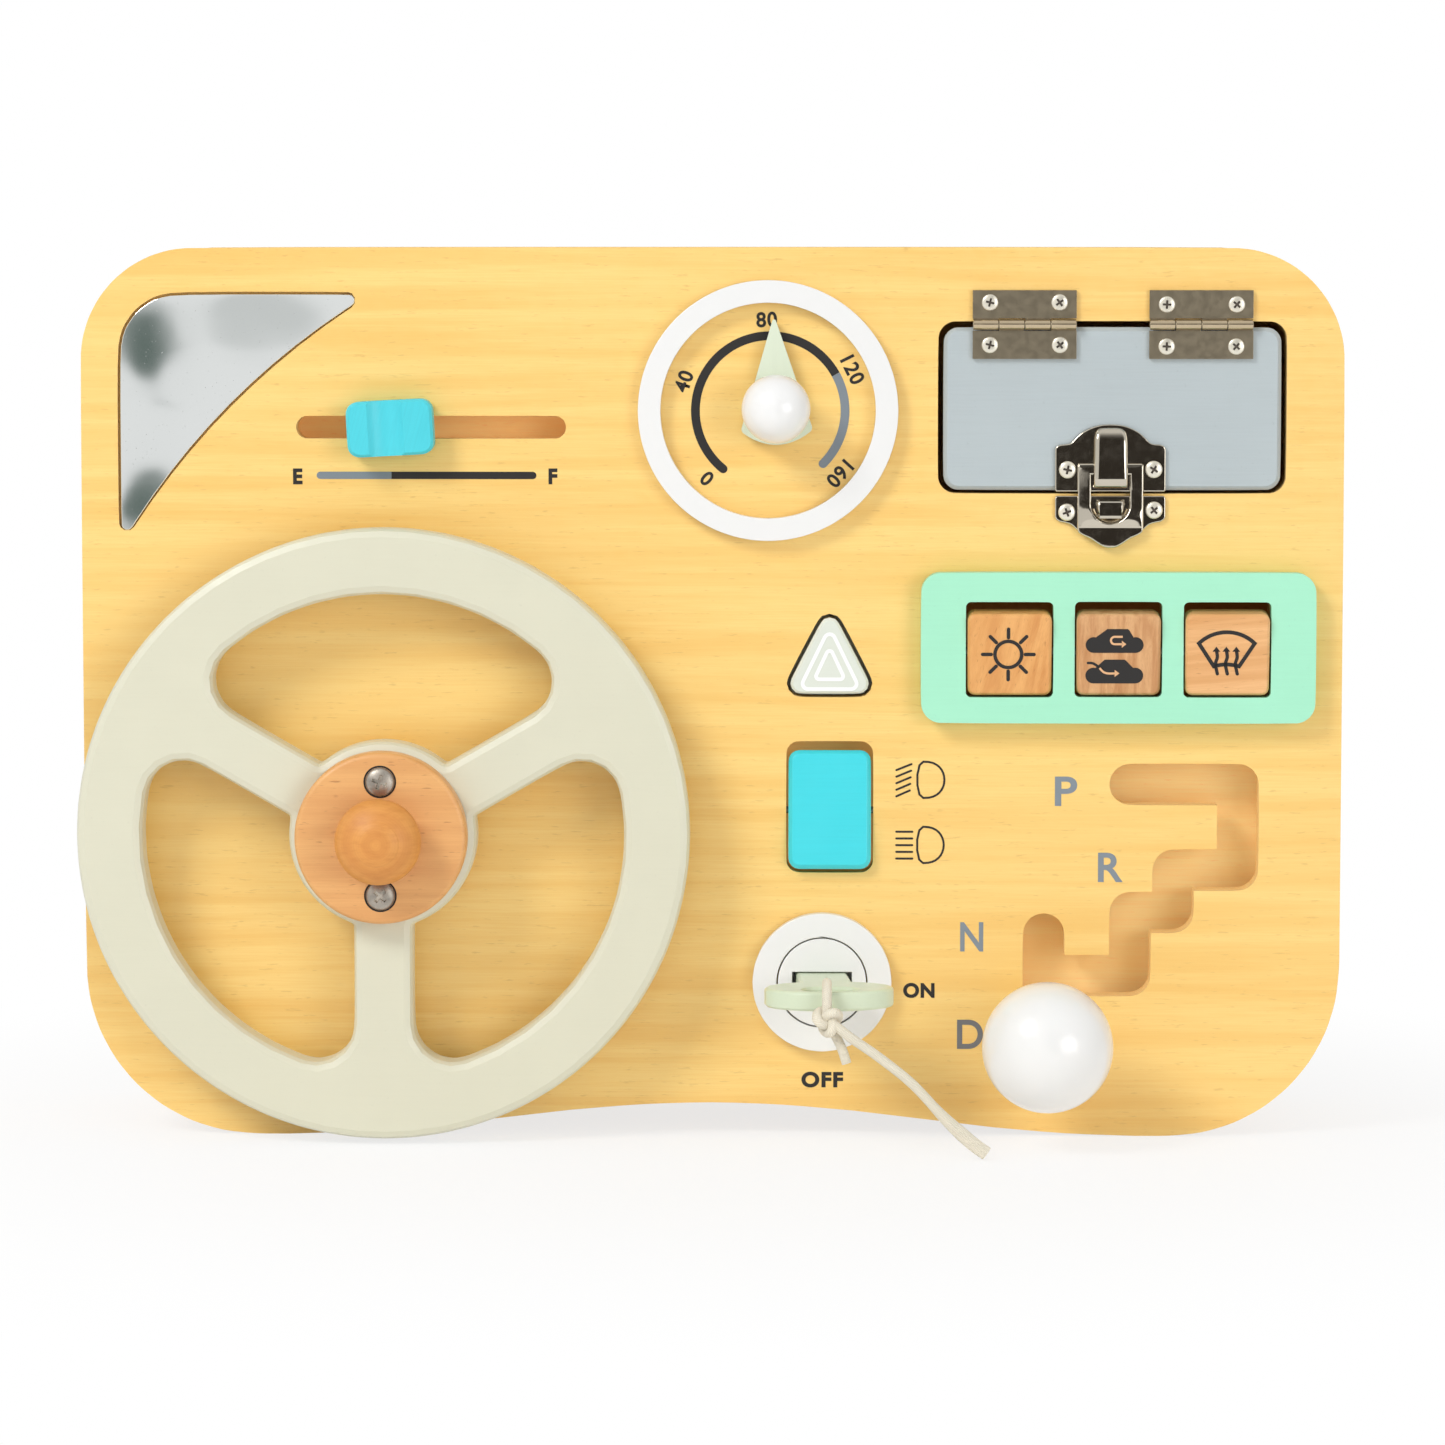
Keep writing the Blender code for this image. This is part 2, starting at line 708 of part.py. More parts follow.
def window_outlines():
    """The three rockers' windows, through the painted frame and the panel."""
    up = SWITCH_V - SWITCH_WINDOW_DROP
    lifts = {-1: 0, 0: SWITCH_MIDDLE_LIFT, 1: 0}
    return [rectangle((SWITCH_U + place * SWITCH_PITCH, up + lift), SWITCH_WINDOW_WIDTH,
                      SWITCH_WINDOW_HEIGHT, SWITCH_WINDOW_CORNER) for place, lift in lifts.items()]


def headlight_opening(wall):
    return rectangle((HEADLIGHT_U, HEADLIGHT_V), HEADLIGHT_SLOT_WIDTH + 2 * wall,
                     HEADLIGHT_SLOT_HEIGHT + 2 * wall, HEADLIGHT_SLOT_CORNER + wall)


def glove_opening(wall):
    return rectangle((GLOVE_U, GLOVE_V), GLOVE_WIDTH + 2 * wall, GLOVE_HEIGHT + 2 * wall,
                     GLOVE_CORNER + wall)


def panel_holes():
    return window_outlines() + [
        slot_outline(SLOT_LENGTH, SLOT_WIDTH),
        circle(DIAL_PIN_RADIUS + TOUCH_GAP, SMALL_STEPS, (NEEDLE_U, NEEDLE_V)),
        circle(SPINDLE_RADIUS + TOUCH_GAP, ROUND_STEPS, (WHEEL_U, WHEEL_V)),
        circle(ROTOR_SHAFT_RADIUS + TOUCH_GAP, ROUND_STEPS, (LOCK_U, LOCK_V)),
        hazard_outline(0),
        headlight_opening(0),
        gate_outline(),
        glove_opening(0),
        mirror_outline(MIRROR_MARGIN),
    ]


def build_case():
    wood = material("birch", BIRCH, SATIN)
    panel = piece("front_panel", outline_mesh(case_outline(), panel_holes(), -PANEL_THICKNESS, 0), wood)
    pocket_floor = -MIRROR_THICKNESS - MIRROR_RECESS - TOUCH_GAP
    seat = outline_mesh(mirror_seat_outline(), [], -MIRROR_SEAT_DEPTH, pocket_floor)
    join(panel, tool("mirror_seat", seat))
    half = HEADLIGHT_PIN_RADIUS + TOUCH_GAP
    end = HEADLIGHT_PIN_LENGTH / 2 + TOUCH_GAP
    cut(panel, tool("headlight_groove", box_mesh((-end, -half, -PANEL_THICKNESS), (end, half, half)),
                    HEADLIGHT_AT))

    inner = RAIL_INSET + RAIL_THICKNESS
    for name, path in (("top_rail", top_path), ("bottom_rail", bottom_path)):
        strip = path(RAIL_INSET) + path(inner)[::-1]
        piece(name, outline_mesh(strip, [], RAIL_BACK, BEHIND_PANEL), wood)
    side = PANEL_WIDTH / 2 - RAIL_INSET
    low, high = RAIL_BOTTOM_JOINT + TOUCH_GAP, RAIL_TOP_JOINT - TOUCH_GAP
    piece("right_rail", box_mesh((side - RAIL_THICKNESS, low, RAIL_BACK), (side, high, BEHIND_PANEL)), wood)
    piece("left_rail", box_mesh((-side, low, RAIL_BACK), (RAIL_THICKNESS - side, high, BEHIND_PANEL)), wood)
    back_front = RAIL_BACK - TOUCH_GAP
    piece("back_panel", outline_mesh(case_outline(), [], back_front - BACK_THICKNESS, back_front), wood)


# Mirror
def mirror_outline(margin):
    """A corner with two equal legs and a long side that bows in towards it."""
    leg = MIRROR_LEG + margin * (2 + math.sqrt(2))
    left, top = MIRROR_LEFT - margin, MIRROR_TOP + margin
    tip = MIRROR_TIP_RADIUS + margin
    corners = [(left, top, MIRROR_CORNER_RADIUS + margin), (left + leg, top, tip)]
    for step in range(1, MIRROR_BOW_STEPS):
        share = step / MIRROR_BOW_STEPS
        bow = MIRROR_BOW * 4 * share * (1 - share) / math.sqrt(2)
        corners.append((left + leg * (1 - share) - bow, top - leg * share + bow, 0))
    corners.append((left, top - leg, tip))
    return rounded(corners)


def mirror_seat_outline():
    """The floor of the mirror's pocket, lapped into the wood all round."""
    leg = MIRROR_LEG + MIRROR_SEAT_LAP * (2 + math.sqrt(2))
    left, top = MIRROR_LEFT - MIRROR_SEAT_LAP, MIRROR_TOP + MIRROR_SEAT_LAP
    return rounded([(left, top, MIRROR_CORNER_RADIUS), (left + leg, top, 0), (left, top - leg, 0)])


def build_mirror():
    low = -MIRROR_THICKNESS - MIRROR_RECESS
    piece("mirror", outline_mesh(mirror_outline(0), [], low, -MIRROR_RECESS),
          material("mirror_glass", SILVER, POLISHED, 1.0))


# Fuel slider
def build_slider():
    wood = material("birch", BIRCH, SATIN)
    carrier = mover("slider_motion", SLIDER_AT)
    top = TOUCH_GAP + SLIDER_RISE
    foot_low = BEHIND_PANEL - SLIDER_FOOT_THICKNESS
    block = outline_mesh(rectangle((0, 0), SLIDER_LENGTH, SLIDER_HEIGHT, SLIDER_CORNER), [],
                         TOUCH_GAP, top, SLIDER_EDGE)
    knob = piece("slider_knob", block, material("turquoise_paint", TURQUOISE, SATIN), SLIDER_AT,
                 (0, 0, SLIDER_TILT), carrier)
    stem = disc_profile(SLIDER_STEM_RADIUS, foot_low, SLIDER_RISE / 2)
    join(knob, turned_tool("slider_stem", stem, SLIDER_AT, SMALL_STEPS))
    radius = ((GROOVE_WIDTH / 2) ** 2 + GROOVE_DEPTH ** 2) / (2 * GROOVE_DEPTH)
    groove = rod_mesh(radius, -SLIDER_HEIGHT, SLIDER_HEIGHT, ROUND_STEPS)
    groove.transform(Matrix.Rotation(math.pi / 2, 4, "Z"))
    groove.transform(Matrix.Translation((GROOVE_SHIFT, 0, top - GROOVE_DEPTH + radius)))
    cut(knob, tool("thumb_groove", groove, SLIDER_AT, (0, 0, SLIDER_TILT)))
    turned_ring("slider_foot", SLIDER_STEM_RADIUS + TOUCH_GAP, SLIDER_FOOT_RADIUS, SLIDER_FOOT_THICKNESS,
                wood, SLIDER_AT, carrier)
    width = 2 * (SLIDER_FOOT_RADIUS + TRACK_SLACK)
    length = SLOT_LENGTH - SLOT_WIDTH + width
    wall = 2 * TRACK_WALL
    tray("slider_track", slot_outline(length + wall, width + wall), slot_outline(length, width),
         SLIDER_FOOT_THICKNESS + TOUCH_GAP, TRACK_FLOOR)


# Speed dial
def needle_outline():
    corners = [(0, NEEDLE_LENGTH, NEEDLE_TIP_RADIUS),
               (-NEEDLE_HALF_WIDTH, -NEEDLE_SHOULDER, NEEDLE_CORNER_RADIUS)]
    for step in range(1, NEEDLE_TAIL_STEPS):
        share = 2 * step / NEEDLE_TAIL_STEPS - 1
        belly = (NEEDLE_TAIL - NEEDLE_SHOULDER) * (1 - share ** 2)
        corners.append((share * NEEDLE_HALF_WIDTH, -NEEDLE_SHOULDER - belly, 0))
    corners.append((NEEDLE_HALF_WIDTH, -NEEDLE_SHOULDER, NEEDLE_CORNER_RADIUS))
    return rounded(corners)


def build_dial():
    white = material("white_paint", WHITE, GLOSS)
    outer = circle(DIAL_OUTER_RADIUS, 2 * ROUND_STEPS)
    inner = circle(DIAL_INNER_RADIUS, 2 * ROUND_STEPS)
    ring = outline_mesh(outer, [inner], TOUCH_GAP, TOUCH_GAP + DIAL_RING_RISE)
    piece("dial_ring", ring, white, (DIAL_U, DIAL_V, 0))

    carrier = mover("dial_motion", NEEDLE_AT)
    bore = DIAL_PIN_RADIUS + TOUCH_GAP
    needle_top = NEEDLE_HEIGHT + NEEDLE_THICKNESS
    needle = outline_mesh(needle_outline(), [circle(bore, SMALL_STEPS)], NEEDLE_HEIGHT, needle_top)
    piece("dial_needle", needle, material("needle_paint", NEEDLE_GREEN, SATIN), NEEDLE_AT,
          (0, 0, NEEDLE_TILT), carrier)
    ball_foot = needle_top + TOUCH_GAP
    centre = ball_foot + math.sqrt(DIAL_BALL_RADIUS ** 2 - DIAL_BALL_FLAT ** 2)
    profile = ball_profile(DIAL_BALL_RADIUS, DIAL_BALL_FLAT, centre, bore, DIAL_PIN_GRIP + TOUCH_GAP)
    turned("dial_knob", profile, white, NEEDLE_AT, carrier=carrier)
    collar_low = BEHIND_PANEL - DIAL_COLLAR_THICKNESS
    pin = [(0, ball_foot + DIAL_PIN_GRIP), (DIAL_PIN_RADIUS, ball_foot + DIAL_PIN_GRIP),
           (DIAL_PIN_RADIUS, BEHIND_PANEL), (DIAL_COLLAR_RADIUS, BEHIND_PANEL),
           (DIAL_COLLAR_RADIUS, collar_low), (0, collar_low)]
    turned("dial_pin", pin, material("steel", NICKEL, GLOSS, 1.0), NEEDLE_AT, 2 * SMALL_STEPS, carrier)


# Steering wheel
def opening_half():
    """Half of an opening beside a spoke that lies to the right, from the hub side to the rim side."""
    edge = WHEEL_SPOKE_WIDTH / 2
    rim, hub = WHEEL_RADIUS - WHEEL_RIM_WIDTH, WHEEL_HUB_RADIUS
    middle = 180 / WHEEL_SPOKE_COUNT
    root_up = edge + WHEEL_OPENING_ROOT
    root = (math.sqrt((hub + WHEEL_OPENING_ROOT) ** 2 - root_up ** 2), root_up)
    root_angle = math.degrees(math.atan2(root[1], root[0]))
    corner_up = edge + WHEEL_OPENING_CORNER
    corner = (math.sqrt((rim - WHEEL_OPENING_CORNER) ** 2 - corner_up ** 2), corner_up)
    corner_angle = math.degrees(math.atan2(corner[1], corner[0]))
    return (arc((0, 0), hub, middle, root_angle, WHEEL_SPAN_STEPS)
            + arc(root, WHEEL_OPENING_ROOT, root_angle + 180, 270, CORNER_STEPS // 2)[1:]
            + arc(corner, WHEEL_OPENING_CORNER, -90, corner_angle, WHEEL_SPAN_STEPS)
            + arc((0, 0), rim, corner_angle, middle, WHEEL_SPAN_STEPS)[1:])


def opening_outline(spoke):
    """The opening after a spoke: a half, and its mirror image about the opening's middle line."""
    turn = math.radians(spoke)
    line = math.radians(2 * (spoke + 180 / WHEEL_SPOKE_COUNT))
    first = [(x * math.cos(turn) - y * math.sin(turn), x * math.sin(turn) + y * math.cos(turn))
             for x, y in opening_half()]
    second = [(x * math.cos(line) + y * math.sin(line), x * math.sin(line) - y * math.cos(line))
              for x, y in first]
    return first + second[-2:0:-1]


def knob_profile():
    """A mushroom knob on a short neck, standing on the hub disc."""
    foot = HUB_FRONT + TOUCH_GAP
    half = KNOB_HEAD_HEIGHT / 2
    middle = foot + KNOB_NECK_HEIGHT + half
    under = -math.degrees(math.acos(KNOB_NECK_RADIUS / KNOB_RADIUS))
    skin = [(x * KNOB_RADIUS, middle + y * half) for x, y in arc((0, 0), 1, 90, under, BALL_STEPS)]
    return [(0, middle + half)] + skin[1:] + [(KNOB_NECK_RADIUS, foot), (0, foot)]


def build_wheel():
    beech = material("beech", BEECH, SATIN)
    steel = material("steel", NICKEL, GLOSS, 1.0)
    carrier = mover("steering_motion", WHEEL_AT)
    openings = [opening_outline(WHEEL_FIRST_SPOKE + 360 / WHEEL_SPOKE_COUNT * step)
                for step in range(WHEEL_SPOKE_COUNT)]
    wheel = piece("steering_wheel",
                  outline_mesh(circle(WHEEL_RADIUS, WHEEL_RIM_STEPS), openings, WHEEL_BACK,
                               WHEEL_BACK + WHEEL_THICKNESS, WHEEL_EDGE, WHEEL_EDGE_STEPS),
                  material("sage_paint", SAGE, SATIN), WHEEL_AT, carrier=carrier)
    disc = turned("hub_disc", disc_profile(HUB_DISC_RADIUS, HUB_BACK, HUB_FRONT), beech, WHEEL_AT,
                  carrier=carrier)

    seat = HUB_FRONT - HUB_SCREW_SINK
    top = seat + HUB_SCREW_HEAD_HEIGHT
    head, shank = HUB_SCREW_HEAD_RADIUS, HUB_SCREW_SHANK_RADIUS
    foot = seat - HUB_SCREW_LENGTH
    screw = [(0, top), (head * HUB_SCREW_DOME_SHARE, top), (head, (top + seat) / 2), (head, seat),
             (shank, seat), (shank, foot), (0, foot)]
    wide, narrow = head + TOUCH_GAP, shank + TOUCH_GAP
    hole = [(0, top), (wide, top), (wide, seat - TOUCH_GAP), (narrow, seat - TOUCH_GAP),
            (narrow, foot - TOUCH_GAP), (0, foot - TOUCH_GAP)]
    for name, side in (("upper", 1), ("lower", -1)):
        place = (WHEEL_U, WHEEL_V + side * HUB_SCREW_SPREAD, 0)
        turned("hub_screw_" + name, screw, steel, place, SMALL_STEPS, carrier)
        drill = turned_tool("hub_hole_" + name, hole, place, SMALL_STEPS)
        cut(disc, drill)
        cut(wheel, drill)
    turned("hub_knob", knob_profile(), beech, WHEEL_AT, carrier=carrier)

    tail = BEHIND_PANEL - RETAINER_THICKNESS - SPINDLE_TAIL
    flange_top = TOUCH_GAP + FLANGE_THICKNESS
    spindle = [(0, flange_top), (FLANGE_RADIUS, flange_top), (FLANGE_RADIUS, TOUCH_GAP),
               (SPINDLE_RADIUS, TOUCH_GAP), (SPINDLE_RADIUS, tail), (0, tail)]
    turned("steering_spindle", spindle, beech, WHEEL_AT, carrier=carrier)
    turned_ring("spindle_retainer", SPINDLE_RADIUS + TOUCH_GAP, RETAINER_RADIUS, RETAINER_THICKNESS, beech,
                WHEEL_AT, carrier)


# Hazard button
def hazard_outline(inset):
    """A triangle standing on its base, drawn in all round by inset."""
    slope = math.atan2(HAZARD_HEIGHT, HAZARD_WIDTH / 2)
    half = HAZARD_WIDTH / 2 - inset / math.tan(slope / 2)
    low = HAZARD_BASE_V + inset
    top = HAZARD_BASE_V + HAZARD_HEIGHT - inset / math.cos(slope)
    radius = HAZARD_CORNER - inset
    return rounded([(HAZARD_U - half, low, radius), (HAZARD_U + half, low, radius), (HAZARD_U, top, radius)])


def build_hazard():
    carrier = mover("hazard_motion", HAZARD_AT)
    flange_low = BEHIND_PANEL - HAZARD_FLANGE_THICKNESS
    middle = (flange_low + BEHIND_PANEL) / 2
    outline = shifted(hazard_outline(HAZARD_GAP), HAZARD_AT)
    button = piece("hazard_button", outline_mesh(outline, [], middle, HAZARD_RISE, HAZARD_EDGE),
                   material("pale_grey_paint", PALE_GREY, SATIN), HAZARD_AT, carrier=carrier)
    join(button, turned_tool("hazard_flange", disc_profile(HAZARD_FLANGE_RADIUS, flange_low, BEHIND_PANEL),
                             HAZARD_AT))

    cavity = HAZARD_FLANGE_RADIUS + HAZARD_CUP_SLACK
    outer = cavity + HAZARD_CUP_WALL
    cup_low = BEHIND_PANEL - HAZARD_CUP_DEPTH
    floor = cup_low + HAZARD_CUP_WALL
    cup = [(0, floor), (cavity, floor), (cavity, BEHIND_PANEL), (outer, BEHIND_PANEL), (outer, cup_low),
           (0, cup_low)]
    turned("hazard_housing", cup, material("birch", BIRCH, SATIN), HAZARD_AT)

    low, high = floor + TOUCH_GAP + SPRING_WIRE, flange_low - TOUCH_GAP - SPRING_WIRE
    count = SPRING_TURNS * SPRING_TURN_POINTS
    coil = arc((0, 0), SPRING_RADIUS, 0, SPRING_TURNS * 360, count)
    rising = [(across, up, low + (high - low) * index / count) for index, (across, up) in enumerate(coil)]
    piece("hazard_spring", tube_mesh(rising, SPRING_WIRE, 1), material("steel", NICKEL, GLOSS, 1.0),
          HAZARD_AT)


# Rockers
def rocker(name, width, height, corner, edge, front, rear, bore, look, at, tilt):
    """A rounded block on a pin along u, its face ahead of the pin and its back behind it."""
    block = outline_mesh(rectangle((0, 0), width, height, corner), [], -rear, front, edge)
    made = piece(name, block, look, at, (tilt, 0, 0))
    cut(made, tool(name + "_bore", rod_mesh(bore, -width, width), at, (tilt, 0, 0)))


def build_headlight():
    rocker("headlight_rocker", HEADLIGHT_WIDTH, HEADLIGHT_HEIGHT, HEADLIGHT_CORNER, HEADLIGHT_EDGE,
           HEADLIGHT_FRONT, HEADLIGHT_REAR, HEADLIGHT_PIN_RADIUS + TOUCH_GAP,
           material("turquoise_paint", TURQUOISE, SATIN), HEADLIGHT_AT, HEADLIGHT_TILT)
    half = HEADLIGHT_PIN_LENGTH / 2
    piece("headlight_pin", rod_mesh(HEADLIGHT_PIN_RADIUS, -half, half),
          material("steel", NICKEL, GLOSS, 1.0), HEADLIGHT_AT)
    tray("headlight_tray", headlight_opening(HEADLIGHT_TRAY_WALL), headlight_opening(0),
         HEADLIGHT_TRAY_DEPTH, HEADLIGHT_TRAY_FLOOR)


def build_switches():
    outer = rectangle((SWITCH_U, SWITCH_V), SWITCH_FRAME_WIDTH, SWITCH_FRAME_HEIGHT, SWITCH_FRAME_CORNER)
    frame = piece("switch_frame", outline_mesh(outer, window_outlines(), TOUCH_GAP,
                                               TOUCH_GAP + SWITCH_FRAME_RISE),
                  material("mint_paint", MINT, SATIN))
    bore = SWITCH_AXLE_RADIUS + TOUCH_GAP
    end = SWITCH_AXLE_LENGTH / 2 + TOUCH_GAP
    groove = box_mesh((-end, -bore, -SWITCH_AXLE_W - CUT_OVERRUN), (end, bore, bore))
    cut(frame, tool("axle_groove", groove, AXLE_AT))
    half = SWITCH_AXLE_LENGTH / 2
    piece("rocker_axle", rod_mesh(SWITCH_AXLE_RADIUS, -half, half), material("steel", NICKEL, GLOSS, 1.0),
          AXLE_AT)
    for place, name in enumerate(SWITCH_NAMES):
        across = SWITCH_U + (place - 1) * SWITCH_PITCH
        rocker(name, SWITCH_WIDTH, SWITCH_HEIGHT, SWITCH_CORNER, SWITCH_EDGE, SWITCH_FRONT, SWITCH_REAR,
               bore, material("beech", BEECH, SATIN), (across, *AXLE_AT[1:]), SWITCH_TILT)


# Key lock
def key_outline():
    """The blade and the oval bow in one outline, from the rotor's face outward."""
    half = KEY_BLADE_WIDTH / 2
    meet = math.degrees(math.acos(half / KEY_BOW_RADIUS))
    corners = [(-half, -KEY_INSERT, KEY_BLADE_CORNER), (half, -KEY_INSERT, KEY_BLADE_CORNER)]
    for across, up in arc((0, 0), 1, -meet, 180 + meet, KEY_BOW_STEPS):
        corners.append((across * KEY_BOW_RADIUS, KEY_BOW_CENTRE + up * KEY_BOW_HALF_DEPTH, 0))
    return rounded(corners)


def build_lock():
    white = material("white_paint", WHITE, GLOSS)
    ring = outline_mesh(circle(LOCK_RING_RADIUS), [circle(ROTOR_RADIUS + LOCK_RING_SLACK)],
                        TOUCH_GAP, TOUCH_GAP + LOCK_RING_RISE)
    piece("lock_ring", ring, white, LOCK_AT)
    carrier = mover("rotor_motion", LOCK_AT)
    step = ROTOR_FRONT - ROTOR_FACE_THICKNESS
    tail = BEHIND_PANEL - ROTOR_RETAINER_THICKNESS - ROTOR_TAIL
    rotor = turned("key_rotor", [(0, ROTOR_FRONT), (ROTOR_RADIUS, ROTOR_FRONT), (ROTOR_RADIUS, step),
                                 (ROTOR_SHAFT_RADIUS, step), (ROTOR_SHAFT_RADIUS, tail), (0, tail)],
                   white, LOCK_AT, carrier=carrier)
    across, up = KEYHOLE_WIDTH / 2, KEYHOLE_HEIGHT / 2
    keyhole = box_mesh((-across, -up, ROTOR_FRONT - KEYHOLE_DEPTH), (across, up, ROTOR_FRONT + CUT_OVERRUN))
    cut(rotor, tool("keyhole", keyhole, LOCK_AT))
    turned_ring("rotor_retainer", ROTOR_SHAFT_RADIUS + TOUCH_GAP, ROTOR_RETAINER_RADIUS,
                ROTOR_RETAINER_THICKNESS, material("birch", BIRCH, SATIN), LOCK_AT, carrier)
    hole = rectangle((0, KEY_HOLE_CENTRE), KEY_HOLE_WIDTH, KEY_HOLE_HEIGHT, KEY_HOLE_CORNER)
    half = KEY_THICKNESS / 2
    piece("key", outline_mesh(key_outline(), [hole], -half, half, KEY_EDGE),
          material("key_green_paint", KEY_GREEN, SATIN), (LOCK_U, LOCK_V, ROTOR_FRONT), (90, KEY_YAW, 0),
          mover("key_motion", LOCK_AT))


# Cord on the key
def smooth_route(route):
    """Points on a smooth curve through the route's own points."""
    points = [Vector(point) for point in route]
    padded = [2 * points[0] - points[1], *points, 2 * points[-1] - points[-2]]
    smooth = []
    for before, start, end, after in zip(padded, padded[1:], padded[2:], padded[3:]):
        for step in range(CORD_SPAN_POINTS):
            t = step / CORD_SPAN_POINTS
            bend = 2 * before - 5 * start + 4 * end - after
            twist = 3 * start - before - 3 * end + after
            smooth.append((2 * start + (end - before) * t + bend * t ** 2 + twist * t ** 3) / 2)
    return smooth + [points[-1]]


def loop_route():
    """The loop through the bow's hole and over its outer rim, square to u."""
    ring = arc(CORD_LOOP_CENTRE, CORD_LOOP_RADIUS, CORD_LOOP_START, CORD_LOOP_END, CORD_LOOP_STEPS)
    return [(CORD_LOOP_U, height, reach) for reach, height in ring]


def knot_mesh(clearance):
    shape = bmesh.new()
    bmesh.ops.create_uvsphere(shape, u_segments=KNOT_STEPS, v_segments=KNOT_STEPS, radius=1)
    bmesh.ops.scale(shape, vec=[radius + clearance for radius in KNOT_RADII], verts=shape.verts)
    return finished_mesh(shape, "knot")


def build_cord():
    cotton = material("cotton", COTTON, MATT)
    key_motion = bpy.data.objects["key_motion"]
    cord_motion = mover("cord_motion", KNOT_CENTRE)
    piece("key_cord_knot", knot_mesh(0), cotton, KNOT_CENTRE, carrier=key_motion)
    clearance = tool("knot_clearance", knot_mesh(CORD_GAP), KNOT_CENTRE)
    strands = (
        ("key_cord_loop", loop_route(), key_motion),
        ("key_cord", smooth_route(CORD_ROUTE), cord_motion),
        ("key_cord_stub", smooth_route(STUB_ROUTE), cord_motion),
    )
    for name, route, carrier in strands:
        cut(piece(name, tube_mesh(route, CORD_RADIUS, CORD_BEVEL_STEPS), cotton, carrier=carrier), clearance)


# Gear gate and lever
def gate_outline():
    """The slot's outline: the lane's half width to each side of a path of runs and columns."""
    half = LANE_WIDTH / 2
    first, second, third, last = GATE_COLUMNS
    top, upper, lower, bottom = GATE_RUNS
    return rounded([
        (GATE_PARK_U - half, top + half, half), (GATE_PARK_U - half, top - half, half),
        (first - half, top - half, 0), (first - half, upper + half, 0),
        (second - half, upper + half, half), (second - half, lower + half, 0),
        (third - half, lower + half, half), (third - half, bottom + half, 0),
        (last + half, bottom + half, 0), (last + half, GATE_NEUTRAL_V + half, half),
        (last - half, GATE_NEUTRAL_V + half, half), (last - half, GATE_DRIVE_V - half, half),
        (last + half, GATE_DRIVE_V - half, half), (last + half, bottom - half, 0),
        (third + half, bottom - half, half), (third + half, lower - half, 0),
        (second + half, lower - half, half), (second + half, upper - half, 0),
        (first + half, upper - half, half), (first + half, top + half, half),
    ])


def build_gear():
    wood = material("birch", BIRCH, SATIN)
    carrier = mover("gear_motion", GEAR_AT)
    bore = STICK_RADIUS + TOUCH_GAP
    turned_ring("gear_foot", bore, GEAR_FOOT_RADIUS, GEAR_FOOT_THICKNESS, wood, GEAR_AT, carrier)
    ball_foot = GEAR_BALL_W - math.sqrt(GEAR_BALL_RADIUS ** 2 - GEAR_BALL_FLAT ** 2)
    stick = disc_profile(STICK_RADIUS, BEHIND_PANEL - GEAR_FOOT_THICKNESS, ball_foot + STICK_GRIP)
    turned("gear_stick", stick, wood, GEAR_AT, 2 * SMALL_STEPS, carrier)
    ball = ball_profile(GEAR_BALL_RADIUS, GEAR_BALL_FLAT, GEAR_BALL_W, bore, STICK_GRIP + TOUCH_GAP)
    turned("gear_ball", ball, material("white_paint", WHITE, GLOSS), GEAR_AT, carrier=carrier)
    reach = GEAR_FOOT_RADIUS + GEAR_TRACK_SLACK
    width = GATE_COLUMNS[0] - GATE_COLUMNS[-1] + 2 * reach
    height = GATE_RUNS[0] - GATE_DRIVE_V + 2 * reach
    centre = ((GATE_COLUMNS[0] + GATE_COLUMNS[-1]) / 2, (GATE_RUNS[0] + GATE_DRIVE_V) / 2)
    wall = 2 * GEAR_TRACK_WALL
    tray("gear_track", rectangle(centre, width + wall, height + wall, reach + GEAR_TRACK_WALL),
         rectangle(centre, width, height, reach), GEAR_TRACK_DEPTH, GEAR_TRACK_FLOOR)


# Glove box
def build_glove_box():
    tray("glove_box", glove_opening(GLOVE_BOX_WALL), glove_opening(0), GLOVE_BOX_DEPTH, GLOVE_BOX_WALL)
    carrier = mover("door_motion", HINGE_AT)
    shape = rectangle((0, DOOR_V - HINGE_V), DOOR_WIDTH, DOOR_HEIGHT, DOOR_CORNER)
    front = -HINGE_AT[2]
    door = outline_mesh(shape, [], front - DOOR_THICKNESS, front, DOOR_EDGE)
    piece("glove_door", door, material("blue_grey_paint", BLUE_GREY, SATIN), HINGE_AT, carrier=carrier)
    for name, side in HINGE_SIDES.items():
        build_hinge(name, (GLOVE_U + side * HINGE_SPREAD, *HINGE_AT[1:]), carrier)


